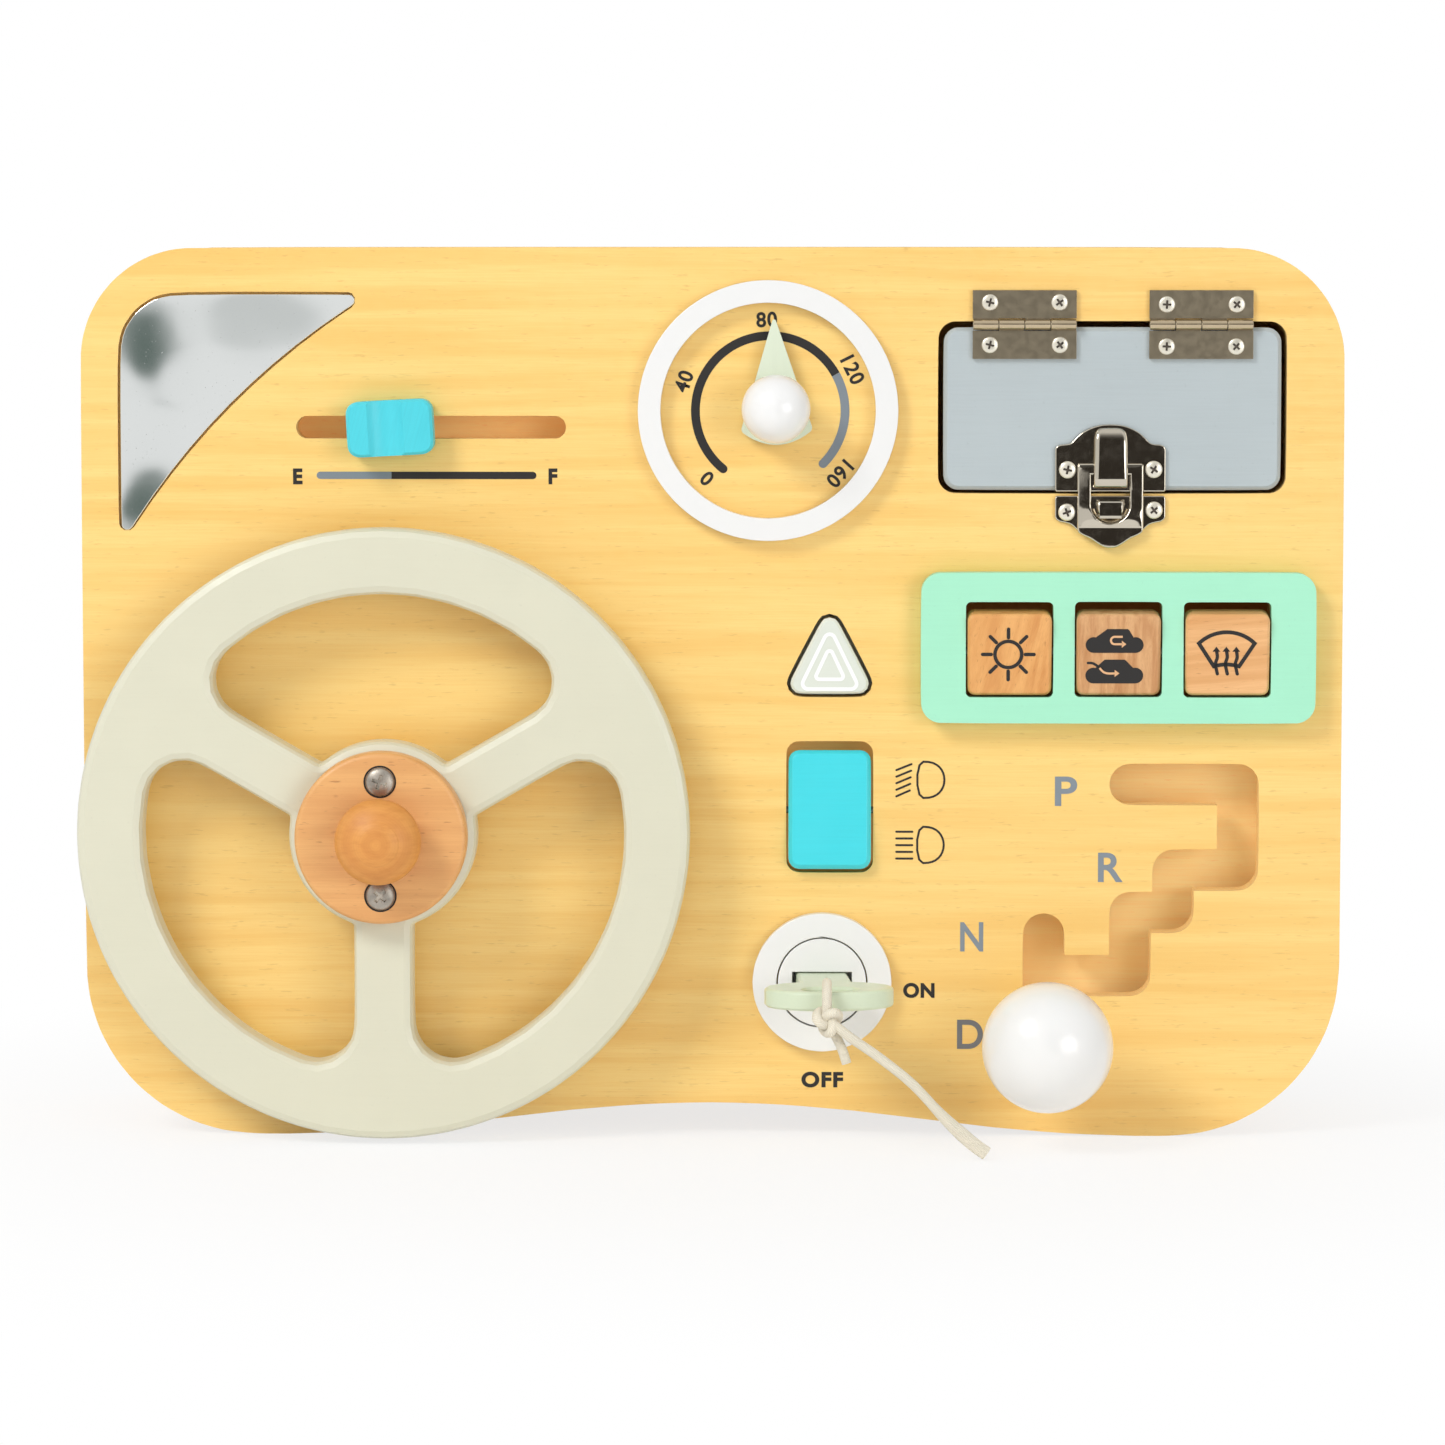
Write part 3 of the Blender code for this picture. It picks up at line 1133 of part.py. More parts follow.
def build_hinge(name, at, carrier):
    """A butt hinge: the upper leaf on the panel, the lower one on the door, four knuckles on a pin."""
    nickel = material("nickel", NICKEL, POLISHED, 1.0)
    half = HINGE_LENGTH / 2
    knuckle = HINGE_LENGTH / KNUCKLE_COUNT
    near = BARREL_RADIUS + TOUCH_GAP
    back, front = -BARREL_RADIUS, LEAF_THICKNESS - BARREL_RADIUS
    leaves = ((name + "_fixed_leaf", 1, 0, None), (name + "_door_leaf", -1, 1, carrier))
    for leaf_name, side, first, holder in leaves:
        low, high = sorted((side * near, side * HINGE_REACH))
        plate = box_mesh((-half, low, back), (half, high, front))
        leaf = piece(leaf_name, plate, nickel, at, carrier=holder)
        low, high = sorted((0, side * (near + LEAF_TAB_REACH)))
        for index in range(first, KNUCKLE_COUNT, 2):
            left = -half + index * knuckle + TOUCH_GAP / 2
            right = left + knuckle - TOUCH_GAP
            tab = box_mesh((left, low, back + LEAF_TAB_INSET), (right, high, front - LEAF_TAB_INSET))
            join(leaf, tool(f"{leaf_name}_tab_{index}", tab, at))
            join(leaf, tool(f"{leaf_name}_barrel_{index}", rod_mesh(BARREL_RADIUS, left, right), at))
        cut(leaf, tool(leaf_name + "_bore", rod_mesh(HINGE_BORE_RADIUS, -HINGE_LENGTH, HINGE_LENGTH), at))
    piece(name + "_pin", rod_mesh(HINGE_PIN_RADIUS, -half, half), nickel, at)


# Toggle latch
def plate_outline(flat_v, shoulder_v, crown_v, arch_half):
    """A plate with a straight side, two wings and an arched side between them."""
    corners = [(-LATCH_HALF_WIDTH, flat_v, LATCH_CORNER), (LATCH_HALF_WIDTH, flat_v, LATCH_CORNER),
               (LATCH_HALF_WIDTH, shoulder_v, LATCH_CORNER)]
    for across, up in arc((0, 0), 1, 0, 180, LATCH_ARCH_STEPS)[1:-1]:
        corners.append((arch_half * across, shoulder_v + (crown_v - shoulder_v) * up, 0))
    corners.append((-LATCH_HALF_WIDTH, shoulder_v, LATCH_CORNER))
    return rounded(corners)


def lever_outlines():
    """The lever's frame and its opening, from the lever's own pivot."""
    frame = rounded([
        (-LEVER_HALF_WIDTH, LEVER_TOP, LEVER_TOP_CORNER), (-LEVER_HALF_WIDTH, LEVER_SHOULDER, LATCH_CORNER),
        (-LEVER_POINT_HALF, LEVER_POINT, LATCH_CORNER), (LEVER_POINT_HALF, LEVER_POINT, LATCH_CORNER),
        (LEVER_HALF_WIDTH, LEVER_SHOULDER, LATCH_CORNER), (LEVER_HALF_WIDTH, LEVER_TOP, LEVER_TOP_CORNER),
    ])
    round_v = LEVER_OPENING_BOTTOM + LEVER_OPENING_HALF
    bar_v = LEVER_TOP - LEVER_BAR
    opening = ([(-LEVER_OPENING_HALF, bar_v)] + arc((0, round_v), LEVER_OPENING_HALF, 180, 360, SMALL_STEPS)
               + [(LEVER_OPENING_HALF, bar_v)])
    return shifted(frame, (0, LINK_LOW_V)), shifted(opening, (0, LINK_LOW_V))


def add_ears(plate, name, pivot, root):
    """Two lugs either side of the link, from the plate out to a bored pivot."""
    inner = LINK_HALF_WIDTH + TOUCH_GAP
    outline = capsule(root, pivot[1:], EAR_RADIUS, EAR_STEPS)
    for side, left in (("left", -inner - EAR_THICKNESS), ("right", inner)):
        ear = sideways(outline_mesh(outline, [], left, left + EAR_THICKNESS))
        join(plate, tool(f"{name}_{side}_ear", ear, (LATCH_U, 0, 0)))
    cut(plate, tool(name + "_bore", latch_bore(), pivot))


def latch_bore():
    return rod_mesh(LATCH_BORE_RADIUS, -LEVER_OPENING_HALF, LEVER_OPENING_HALF)


def build_latch():
    nickel = material("nickel", NICKEL, POLISHED, 1.0)
    door_motion = bpy.data.objects["door_motion"]
    centre = (LATCH_U, 0, 0)
    strike_loop = plate_outline(STRIKE_BOTTOM, STRIKE_SHOULDER, STRIKE_TOP, STRIKE_ARCH_HALF)
    strike = piece("latch_strike", outline_mesh(strike_loop, [], TOUCH_GAP, PLATE_TOP), nickel, centre,
                   carrier=door_motion)
    half = TONGUE_WIDTH / 2
    front = TONGUE_UNDERSIDE + TONGUE_THICKNESS
    tongue = rounded([(-half, TONGUE_BOTTOM, 0), (half, TONGUE_BOTTOM, 0), (half, TONGUE_TOP, TONGUE_CORNER),
                      (-half, TONGUE_TOP, TONGUE_CORNER)])
    root = box_mesh((-half, TONGUE_BOTTOM, TOUCH_GAP + LATCH_PLATE / 2),
                    (half, TONGUE_BOTTOM + TONGUE_THICKNESS, TONGUE_UNDERSIDE + TONGUE_THICKNESS / 2))
    join(strike, tool("tongue_root", root, centre))
    join(strike, tool("tongue", outline_mesh(tongue, [], TONGUE_UNDERSIDE, front), centre))

    base_loop = plate_outline(BASE_TOP, BASE_SHOULDER, BASE_BOTTOM, BASE_ARCH_HALF)
    base = piece("latch_base", outline_mesh(base_loop, [], TOUCH_GAP, PLATE_TOP), nickel, centre)
    add_ears(base, "base", LINK_AT, BASE_EAR_ROOT)

    bar = capsule((LINK_LOW_V - LINK_TOP_V, 0), (0, 0), LINK_RADIUS, EAR_STEPS)
    link = piece("latch_link", sideways(outline_mesh(bar, [], -LINK_HALF_WIDTH, LINK_HALF_WIDTH)), nickel,
                 LINK_AT, carrier=mover("link_motion", LINK_AT))
    cut(link, tool("link_top_bore", latch_bore(), LINK_AT))
    cut(link, tool("link_low_bore", latch_bore(), LEVER_AT))

    lever_motion = mover("lever_motion", LEVER_AT)
    frame, opening = lever_outlines()
    low = LEVER_UNDERSIDE - LATCH_PIVOT_W
    plate = outline_mesh(frame, [opening], low, low + LEVER_THICKNESS)
    lever = piece("latch_lever", plate, nickel, LEVER_AT, carrier=lever_motion)
    add_ears(lever, "lever", LEVER_AT, LEVER_EAR_ROOT)
    pin = LINK_HALF_WIDTH + TOUCH_GAP + EAR_THICKNESS
    piece("latch_base_pin", rod_mesh(LATCH_PIN_RADIUS, -pin, pin), nickel, LINK_AT)
    piece("latch_lever_pin", rod_mesh(LATCH_PIN_RADIUS, -pin, pin), nickel, LEVER_AT, carrier=lever_motion)


def main():
    for leftover in list(bpy.data.objects):
        bpy.data.objects.remove(leftover, do_unlink=True)
    build_case()
    build_mirror()
    build_slider()
    build_dial()
    build_wheel()
    build_hazard()
    build_headlight()
    build_switches()
    build_lock()
    build_cord()
    build_gear()
    build_glove_box()
    build_latch()


main()
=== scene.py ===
"""Looks of a steering wheel busy board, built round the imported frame.

Board coordinates run through the file: u to the right, v up from the table and w out of the
front panel's face. A board point stands at X = u, Y = FACE_Y - w, Z = v. Lengths are in metres
and angles in degrees.
"""

import json
import logging
import math
import sys
from contextlib import contextmanager
from dataclasses import dataclass
from enum import Enum
from typing import Any, Callable, Iterator, Sequence

import bmesh
import bpy
from mathutils import Matrix, Vector


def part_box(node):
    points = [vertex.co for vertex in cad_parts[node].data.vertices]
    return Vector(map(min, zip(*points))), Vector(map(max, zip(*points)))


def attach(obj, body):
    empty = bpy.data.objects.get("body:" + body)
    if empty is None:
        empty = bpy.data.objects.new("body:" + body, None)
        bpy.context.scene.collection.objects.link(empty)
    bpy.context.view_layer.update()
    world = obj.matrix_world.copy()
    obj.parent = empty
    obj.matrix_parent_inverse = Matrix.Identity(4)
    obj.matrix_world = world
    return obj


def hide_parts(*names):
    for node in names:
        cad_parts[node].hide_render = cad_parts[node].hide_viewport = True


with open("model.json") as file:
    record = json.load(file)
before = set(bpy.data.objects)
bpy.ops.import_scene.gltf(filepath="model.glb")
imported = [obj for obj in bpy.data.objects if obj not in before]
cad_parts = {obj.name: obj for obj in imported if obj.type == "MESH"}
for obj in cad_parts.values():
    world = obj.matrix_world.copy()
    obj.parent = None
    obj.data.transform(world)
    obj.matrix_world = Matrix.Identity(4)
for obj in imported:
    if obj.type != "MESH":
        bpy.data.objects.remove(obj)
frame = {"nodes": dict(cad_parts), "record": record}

NODES = frame["nodes"]
BODIES = frame["record"]["behaviour"]["bodies"]
BODY_OF = {node: body for body, held in BODIES.items() for node in held}
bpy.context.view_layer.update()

Named = tuple[str, str]
Flat = tuple[float, float]
Line = Sequence[Flat]
Point = tuple[float, float, float]
Colour = tuple[float, float, float, float]
Node = bpy.types.Node
Tree = bpy.types.NodeTree
Socket = bpy.types.NodeSocket
Value = Any
Piece = bpy.types.Object
Place = Callable[[float, float, float], Vector]

FACE_Y = -0.013
PIXEL = 0.0002941
PHOTO_WIDTH = 1445
LEFT_PIXEL = 711.5
FOOT_PIXEL = 1137.5
INK_LIFT = 0.00006
WELD = 0.00001
WAVE_SCALE = 20
YARNS_ROUND = 6
YARNS_ALONG = 1500
WHITE: Colour = (1.0, 1.0, 1.0, 1.0)
BARK: Colour = (0.22, 0.10, 0.03, 1.0)
FACING: Point = (math.pi / 2, 0, 0)

log = logging.getLogger("busy_board")


def at(u: float, v: float, w: float = 0.0) -> Vector:
    """A board point in the scene's own axes."""
    return Vector((u, FACE_Y - w, v))


def front_of(node: str) -> float:
    """How far in w a node reaches."""
    return FACE_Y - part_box(node)[0].y


def middle_of(node: str) -> Flat:
    """The middle of a node, in (u, v)."""
    low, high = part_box(node)
    return (low.x + high.x) / 2, (low.z + high.z) / 2


def spot(x: float, y: float) -> Flat:
    """The place on the front panel's face under a pixel of the photograph."""
    return (x - LEFT_PIXEL) * PIXEL, (FOOT_PIXEL - y) * PIXEL


def srgb(red: float, green: float, blue: float) -> Colour:
    """A display colour of 0 to 255 as the linear colour that shaders take.

    Args:
        red: The red part.
        green: The green part.
        blue: The blue part.

    Returns:
        Red, green, blue and a full alpha.
    """
    parts = []
    for value in (red / 255, green / 255, blue / 255):
        parts.append(value / 12.92 if value <= 0.04045 else ((value + 0.055) / 1.055) ** 2.4)
    return (parts[0], parts[1], parts[2], 1.0)


def toned(colour: Colour, share: float, lift: float = 0.0) -> Colour:
    """A colour made darker or paler by a share, with a lift added to each part."""
    red, green, blue = (min(1.0, share * part + lift) for part in colour[:3])
    return (red, green, blue, 1.0)


# Shader nodes


class Wiring:
    """A hand for wiring one node tree."""

    def __init__(self, tree: Tree) -> None:
        """Keeps the tree that is wired and the shader in it, if there is one."""
        self.tree = tree
        self.shader = tree.nodes.get("Principled BSDF")

    def shade(self, values: dict[str, Value]) -> None:
        """Feeds the shader's inputs, by their names."""
        for name, value in values.items():
            self.feed(self.shader.inputs[name], value)

    def add(self, kind: str, **settings: Value) -> Node:
        """A new node.

        Args:
            kind: Which node it is.
            settings: The properties that are set on it.

        Returns:
            The node.
        """
        node = self.tree.nodes.new(kind)
        for name, value in settings.items():
            setattr(node, name, value)
        return node

    def feed(self, socket: Socket, value: Value) -> None:
        """Links a socket to another, or writes a plain value on it.

        Args:
            socket: The socket that is fed.
            value: The other socket, or the number, vector or colour.
        """
        if isinstance(value, Socket):
            self.tree.links.new(value, socket)
        else:
            socket.default_value = value

    def place(self, scale: Point = (1, 1, 1), turn: Point = (0, 0, 0), move: Point = (0, 0, 0),
              source: str = "Object") -> Socket:
        """The piece's own coordinates, turned, moved and stretched.

        Args:
            scale: The stretch along each axis.
            turn: The turn about each axis, in degrees.
            move: The shift after the stretch.
            source: The output of the Texture Coordinate node that is read.

        Returns:
            The vector to read a pattern at.
        """
        coordinates = self.add("ShaderNodeTexCoord")
        mapping = self.add("ShaderNodeMapping")
        self.tree.links.new(coordinates.outputs[source], mapping.inputs["Vector"])
        mapping.inputs["Scale"].default_value = scale
        mapping.inputs["Rotation"].default_value = [math.radians(part) for part in turn]
        mapping.inputs["Location"].default_value = move
        return mapping.outputs["Vector"]

    def stretched(self, vector: Socket, scale: Point) -> Socket:
        """A vector times a scale on each axis.

        Args:
            vector: The vector.
            scale: The scale on each axis.

        Returns:
            The product.
        """
        node = self.add("ShaderNodeVectorMath", operation="MULTIPLY")
        self.feed(node.inputs[0], vector)
        self.feed(node.inputs[1], scale)
        return node.outputs[0]

    def noise(self, vector: Socket, size: Value = 1.0, detail: Value = 3.0, rough: float = 0.55,
              distortion: float = 0.0) -> Socket:
        """Noise from 0 to 1 at a vector.

        Args:
            vector: Where it is read.
            size: Its scale, as cells in a unit of the vector.
            detail: How many finer layers it has.
            rough: How strong the finer layers are.
            distortion: How far it is swirled.

        Returns:
            The noise's value.
        """
        node = self.add("ShaderNodeTexNoise")
        values = dict(Vector=vector, Scale=size, Detail=detail, Roughness=rough, Distortion=distortion)
        for name, value in values.items():
            self.feed(node.inputs[name], value)
        return node.outputs[0]

    def ramp(self, value: Socket, low: Value, high: Value, to_low: Value = 0.0,
             to_high: Value = 1.0) -> Socket:
        """A value's stretch from low to high, mapped smoothly onto another stretch and held there.

        Args:
            value: The value that is read.
            low: Where its stretch starts.
            high: Where its stretch ends.
            to_low: What the start becomes.
            to_high: What the end becomes.

        Returns:
            The mapped value.
        """
        node = self.add("ShaderNodeMapRange", interpolation_type="SMOOTHSTEP")
        values = {"Value": value, "From Min": low, "From Max": high, "To Min": to_low, "To Max": to_high}
        for name, number in values.items():
            self.feed(node.inputs[name], number)
        return node.outputs["Result"]

    def mix(self, share: Value, first: Value, second: Value) -> Socket:
        """The first colour, with a share of the second over it.

        Args:
            share: How much of the second there is.
            first: The first colour.
            second: The second colour.

        Returns:
            The mixed colour.
        """
        node = self.add("ShaderNodeMix", data_type="RGBA")
        for index, value in ((0, share), (6, first), (7, second)):
            self.feed(node.inputs[index], value)
        return node.outputs[2]

    def maths(self, operation: str, first: Value, second: Value = 0.0) -> Socket:
        """One sum of two values.

        Args:
            operation: What is done with them.
            first: The first value.
            second: The second value.

        Returns:
            The outcome.
        """
        node = self.add("ShaderNodeMath", operation=operation)
        self.feed(node.inputs[0], first)
        self.feed(node.inputs[1], second)
        return node.outputs[0]

    def either(self, share: Socket, first: Socket, second: Socket) -> Socket:
        """The first shader, with a share of the second in its stead.

        Args:
            share: How much of the second there is.
            first: The first shader.
            second: The second shader.

        Returns:
            The mixed shader.
        """
        node = self.add("ShaderNodeMixShader")
        for socket, value in zip(node.inputs, (share, first, second)):
            self.feed(socket, value)
        return node.outputs[0]

    def bump(self, height: Socket, distance: float, strength: float = 1.0,
             under: Socket | None = None) -> Socket:
        """A normal that follows a height.

        Args:
            height: The height, from 0 to 1.
            distance: How far a height of 1 stands out, in metres.
            strength: How much of it is used.
            under: Another normal that it lies on.

        Returns:
            The normal.
        """
        node = self.add("ShaderNodeBump")
        self.feed(node.inputs["Height"], height)
        node.inputs["Distance"].default_value = distance
        node.inputs["Strength"].default_value = strength
        if under is not None:
            self.feed(node.inputs["Normal"], under)
        return node.outputs["Normal"]

    def use(self, group: Tree, **values: Value) -> Node:
        """Places a group in this tree.

        Args:
            group: The group.
            values: The values of its inputs, by name.

        Returns:
            The group's node.
        """
        node = self.add("ShaderNodeGroup")
        node.node_tree = group
        for name, value in values.items():
            self.feed(node.inputs[name], value)
        return node


@dataclass(frozen=True)
class Patches:
    """A pattern's scale, its finer layers, and the noise's levels at which it starts and is full."""

    size: float
    detail: float
    low: float
    high: float


class Effects:
    """Node groups that several finishes share, each built once."""

    made: dict[str, Tree] = {}

    @classmethod
    def start(cls, name: str, inputs: Sequence[Named],
              outputs: Sequence[Named]) -> tuple[Wiring, Node, Node]:
        """An empty group with its sockets.

        Args:
            name: The group's name.
            inputs: A name and a socket type for each input.
            outputs: The same for each output.

        Returns:
            The group's wiring, its input node and its output node.
        """
        tree = bpy.data.node_groups.new(name, "ShaderNodeTree")
        for label, kind in inputs:
            tree.interface.new_socket(name=label, in_out="INPUT", socket_type=kind)
        for label, kind in outputs:
            tree.interface.new_socket(name=label, in_out="OUTPUT", socket_type=kind)
        wiring = Wiring(tree)
        cls.made[name] = tree
        return wiring, wiring.add("NodeGroupInput"), wiring.add("NodeGroupOutput")

    @classmethod
    def patches(cls) -> Tree:
        """Soft patches, specks or fibres: one noise held between two levels.

        Returns:
            The group, which takes Place, Size, Detail, Low, High and Amount and puts out Mask.
        """
        if "patches" in cls.made:
            return cls.made["patches"]
        wiring, start, end = cls.start(
            "patches",
            [("Place", "NodeSocketVector"), *((label, "NodeSocketFloat") for label in
                                              ("Size", "Detail", "Low", "High", "Amount"))],
            [("Mask", "NodeSocketFloat")])
        place, size, detail, low, high, amount = start.outputs[:6]
        value = wiring.noise(place, size, detail, 0.58)
        wiring.feed(end.inputs["Mask"], wiring.ramp(value, low, high, 0.0, amount))
        return cls.made["patches"]

    @classmethod
    def mask(cls, wiring: Wiring, place: Socket, kind: Patches, amount: float = 1.0) -> Socket:
        """A pattern of patches in a material, read at a place, with its strength."""
        group = wiring.use(cls.patches(), Place=place, Size=kind.size, Detail=kind.detail, Low=kind.low,
                           High=kind.high, Amount=amount)
        return group.outputs["Mask"]

    @classmethod
    def grain(cls) -> Tree:
        """Close-grained wood along X: broad bands, fine fibres, soft clouds and short dashes.

        Returns:
            The group, which takes Place, Pale, Deep, Bands and Flecks and puts out Colour and Relief.
        """
        if "grain" in cls.made:
            return cls.made["grain"]
        wiring, start, end = cls.start(
            "grain",
            [("Place", "NodeSocketVector"), ("Pale", "NodeSocketColor"), ("Deep", "NodeSocketColor"),
             ("Bands", "NodeSocketFloat"), ("Flecks", "NodeSocketFloat")],
            [("Colour", "NodeSocketColor"), ("Relief", "NodeSocketFloat")])
        place, pale, deep, band_amount, fleck_amount = start.outputs[:5]

        def layer(scale: Point, detail: float, low: float, high: float, amount: Value,
                  swirl: float = 0.0) -> Socket:
            """One noise, long along the grain, held between two levels."""
            value = wiring.noise(wiring.stretched(place, scale), 1.0, detail, 0.6, swirl)
            return wiring.ramp(value, low, high, 0.0, amount)

        bands = layer((5, 150, 150), 6, 0.36, 0.68, band_amount, 0.5)
        fibres = layer((60, 2600, 2600), 3, 0.35, 0.75, 0.36)
        clouds = layer((5, 14, 14), 2, 0.35, 0.7, 0.35, 0.3)
        dashes = layer((190, 1500, 1500), 2, 0.63, 0.74, fleck_amount)
        colour = wiring.mix(clouds, wiring.mix(fibres, wiring.mix(bands, pale, deep), deep), pale)
        colour = wiring.mix(dashes, colour, wiring.mix(0.42, deep, BARK))
        wiring.feed(end.inputs["Colour"], colour)
        hollows = wiring.maths("MULTIPLY", fibres, -1.0)
        wiring.feed(end.inputs["Relief"], wiring.maths("SUBTRACT", hollows, dashes))
        return cls.made["grain"]


# Finishes


class Run(Enum):
    """Which way the grain runs, as the turn that brings it onto X."""

    ACROSS = (0.0, 0.0, 0.0)
    UPRIGHT = (0.0, 90.0, 0.0)
    STEEP = (0.0, 76.0, 0.0)
    SAGGING = (0.0, 4.0, 0.0)


@dataclass(frozen=True)
class Finish:
    """A material of one colour and roughness, which each kind of finish adds to."""

    name: str
    colour: Colour
    roughness: float
    slot: str | None = None
    metallic: float = 0.0

    def material(self) -> bpy.types.Material:
        """The finish's material, made the first time it is asked for.

        Returns:
            The material.
        """
        if self.name not in MATERIALS:
            look = bpy.data.materials.new(self.name)
            look.use_nodes = True
            look.diffuse_color = self.colour
            MATERIALS[self.name] = look
            wiring = Wiring(look.node_tree)
            wiring.shade({"Base Color": self.colour, "Roughness": self.roughness, "Metallic": self.metallic})
            self.dress(wiring)
        return MATERIALS[self.name]

    def dress(self, wiring: Wiring) -> None:
        """Adds the finish's own nodes; a plain finish has none."""

    def uneven(self, wiring: Wiring, size: float, reach: float = 0.07) -> Socket:
        """Roughness that varies in patches.

        Args:
            wiring: The material's nodes.
            size: The patches' scale.
            reach: How far it strays.

        Returns:
            The roughness.
        """
        value = wiring.noise(wiring.place(), size, 3.0)
        return wiring.ramp(value, 0.3, 0.7, max(0.03, self.roughness - reach), self.roughness + reach)


MATERIALS: dict[str, bpy.types.Material] = {}


@dataclass(frozen=True)
class Veneer(Finish):
    """Bare or oiled wood with its grain, with a glow of painted light where one is set."""

    deep: Colour = WHITE
    run: Run = Run.ACROSS
    bands: float = 0.55
    flecks: float = 0.28
    spacing: float = 1.0
    shift: Point = (0.0, 0.0, 0.0)
    specular: float = 0.5
    # glow: the surface gives off its own grain colour, painted light that lifts a floor lying in shade
    glow: float = 0.0

    def dress(self, wiring: Wiring) -> None:
        """Wires the grain into the colour and the relief, and any glow of painted light.

        Args:
            wiring: The material's nodes.
        """
        place = wiring.place((self.spacing,) * 3, self.run.value, self.shift)
        grain = wiring.use(Effects.grain(), Place=place, Pale=self.colour, Deep=self.deep,
                           Bands=self.bands, Flecks=self.flecks)
        relief = wiring.bump(grain.outputs["Relief"], 0.00006, 0.7)
        wiring.shade({"Base Color": grain.outputs["Colour"], "Normal": relief,
                      "Roughness": self.uneven(wiring, 300), "Specular IOR Level": self.specular})
        # The glow is painted light: a floor deep in its slot gives off its own colour instead of lying in
        # shade.
        if self.glow:
            wiring.shade({"Emission Color": grain.outputs["Colour"], "Emission Strength": self.glow})


@dataclass(frozen=True)
class CutPly(Finish):
    """The cut edge of plywood: thin layers with the grain turned between them."""

    deep: Colour = WHITE
    ply: float = 0.0013
    torn: Patches = Patches(500, 4, 0.35, 0.7)

    def dress(self, wiring: Wiring) -> None:
        """Wires the layers and their coarse cut.

        Args:
            wiring: The material's nodes.
        """
        wave = wiring.add("ShaderNodeTexWave", wave_type="BANDS", bands_direction="Y", wave_profile="SIN")
        scale = 2 * math.pi / (WAVE_SCALE * 2 * self.ply)
        wiring.feed(wave.inputs["Vector"], wiring.place((scale,) * 3, move=(0, -FACE_Y * scale, 0)))
        wave.inputs["Scale"].default_value = 1.0
        wave.inputs["Distortion"].default_value = 0.25
        layers = wiring.ramp(wave.outputs[1], 0.42, 0.58, 0.0, 0.6)
        cut = Effects.mask(wiring, wiring.place((1, 2.6, 1)), self.torn, 0.4)
        colour = wiring.mix(cut, wiring.mix(layers, self.colour, self.deep), toned(self.deep, 0.85))
        wiring.shade({"Base Color": colour, "Normal": wiring.bump(cut, 0.00012, 0.6)})


@dataclass(frozen=True)
class Paint(Finish):
    """Paint on wood: an even coat with a faint brushed grain, soft clouding and specks."""

    run: Run = Run.ACROSS
    grain: float = 0.2
    coat: float = 0.0
    wear: float = 0.0
    clouding: float = 0.28
    speckle: float = 0.3
    fibres: Patches = Patches(1, 4, 0.35, 0.72)
    clouds: Patches = Patches(35, 3, 0.35, 0.7)
    specks: Patches = Patches(900, 2, 0.66, 0.78)

    def dress(self, wiring: Wiring) -> None:
        """Wires the brushed grain, the clouding and the specks.

        Args:
            wiring: The material's nodes.
        """
        shade, tint = toned(self.colour, 0.86), toned(self.colour, 1.05, 0.01)
        brushed = wiring.stretched(wiring.place(turn=self.run.value), (45, 1700, 1700))
        fibres = Effects.mask(wiring, brushed, self.fibres, self.grain)
        clouds = Effects.mask(wiring, wiring.place(), self.clouds, self.clouding)
        specks = Effects.mask(wiring, wiring.place(), self.specks, self.speckle + self.wear)
        colour = wiring.mix(clouds, wiring.mix(fibres, self.colour, shade), tint)
        peel = wiring.bump(wiring.noise(wiring.place(), 420.0, 2.0), 0.00005, self.speckle)
        relief = wiring.bump(fibres, 0.00005, min(1.0, 3 * self.grain), peel)
        wiring.shade({"Base Color": wiring.mix(specks, colour, shade), "Normal": relief,
                      "Roughness": self.uneven(wiring, 220, 0.17 * self.speckle),
                      "Coat Weight": self.coat, "Coat Roughness": 0.14})


@dataclass(frozen=True)
class Plating(Finish):
    """Plated steel: soft clouding, dull specks and fine scratches."""

    worn: float = 0.3
    dull: float = 0.6
    clouds: Patches = Patches(190, 5, 0.4, 0.68)
    specks: Patches = Patches(1900, 3, 0.55, 0.72)

    def dress(self, wiring: Wiring) -> None:
        """Wires the clouding, the specks and the scratches.

        Args:
            wiring: The material's nodes.
        """
        dulled = toned(self.colour, self.dull)
        clouds = Effects.mask(wiring, wiring.place(), self.clouds, self.worn)
        specks = Effects.mask(wiring, wiring.place(), self.specks, self.worn * 0.6)
        colour = wiring.mix(specks, wiring.mix(clouds, self.colour, dulled), dulled)
        scratches = wiring.noise(wiring.stretched(wiring.place(), (1500, 1500, 260)), 1.0, 3.0)
        wiring.shade({"Base Color": colour,
                      "Normal": wiring.bump(scratches, 0.00001, 0.2 + 0.5 * self.worn),
                      "Roughness": self.uneven(wiring, 420, min(0.04, 0.4 * self.roughness))})


@dataclass(frozen=True)
class Ink(Finish):
    """Printed ink: nearly even, with a faint dry grain."""

    dry: Patches = Patches(700, 3, 0.55, 0.8)

    def dress(self, wiring: Wiring) -> None:
        """Wires the dry grain."""
        dry = Effects.mask(wiring, wiring.place((1, 3.5, 3.5)), self.dry, 0.2)
        wiring.shade({"Base Color": wiring.mix(dry, self.colour, toned(self.colour, 1.3, 0.008))})


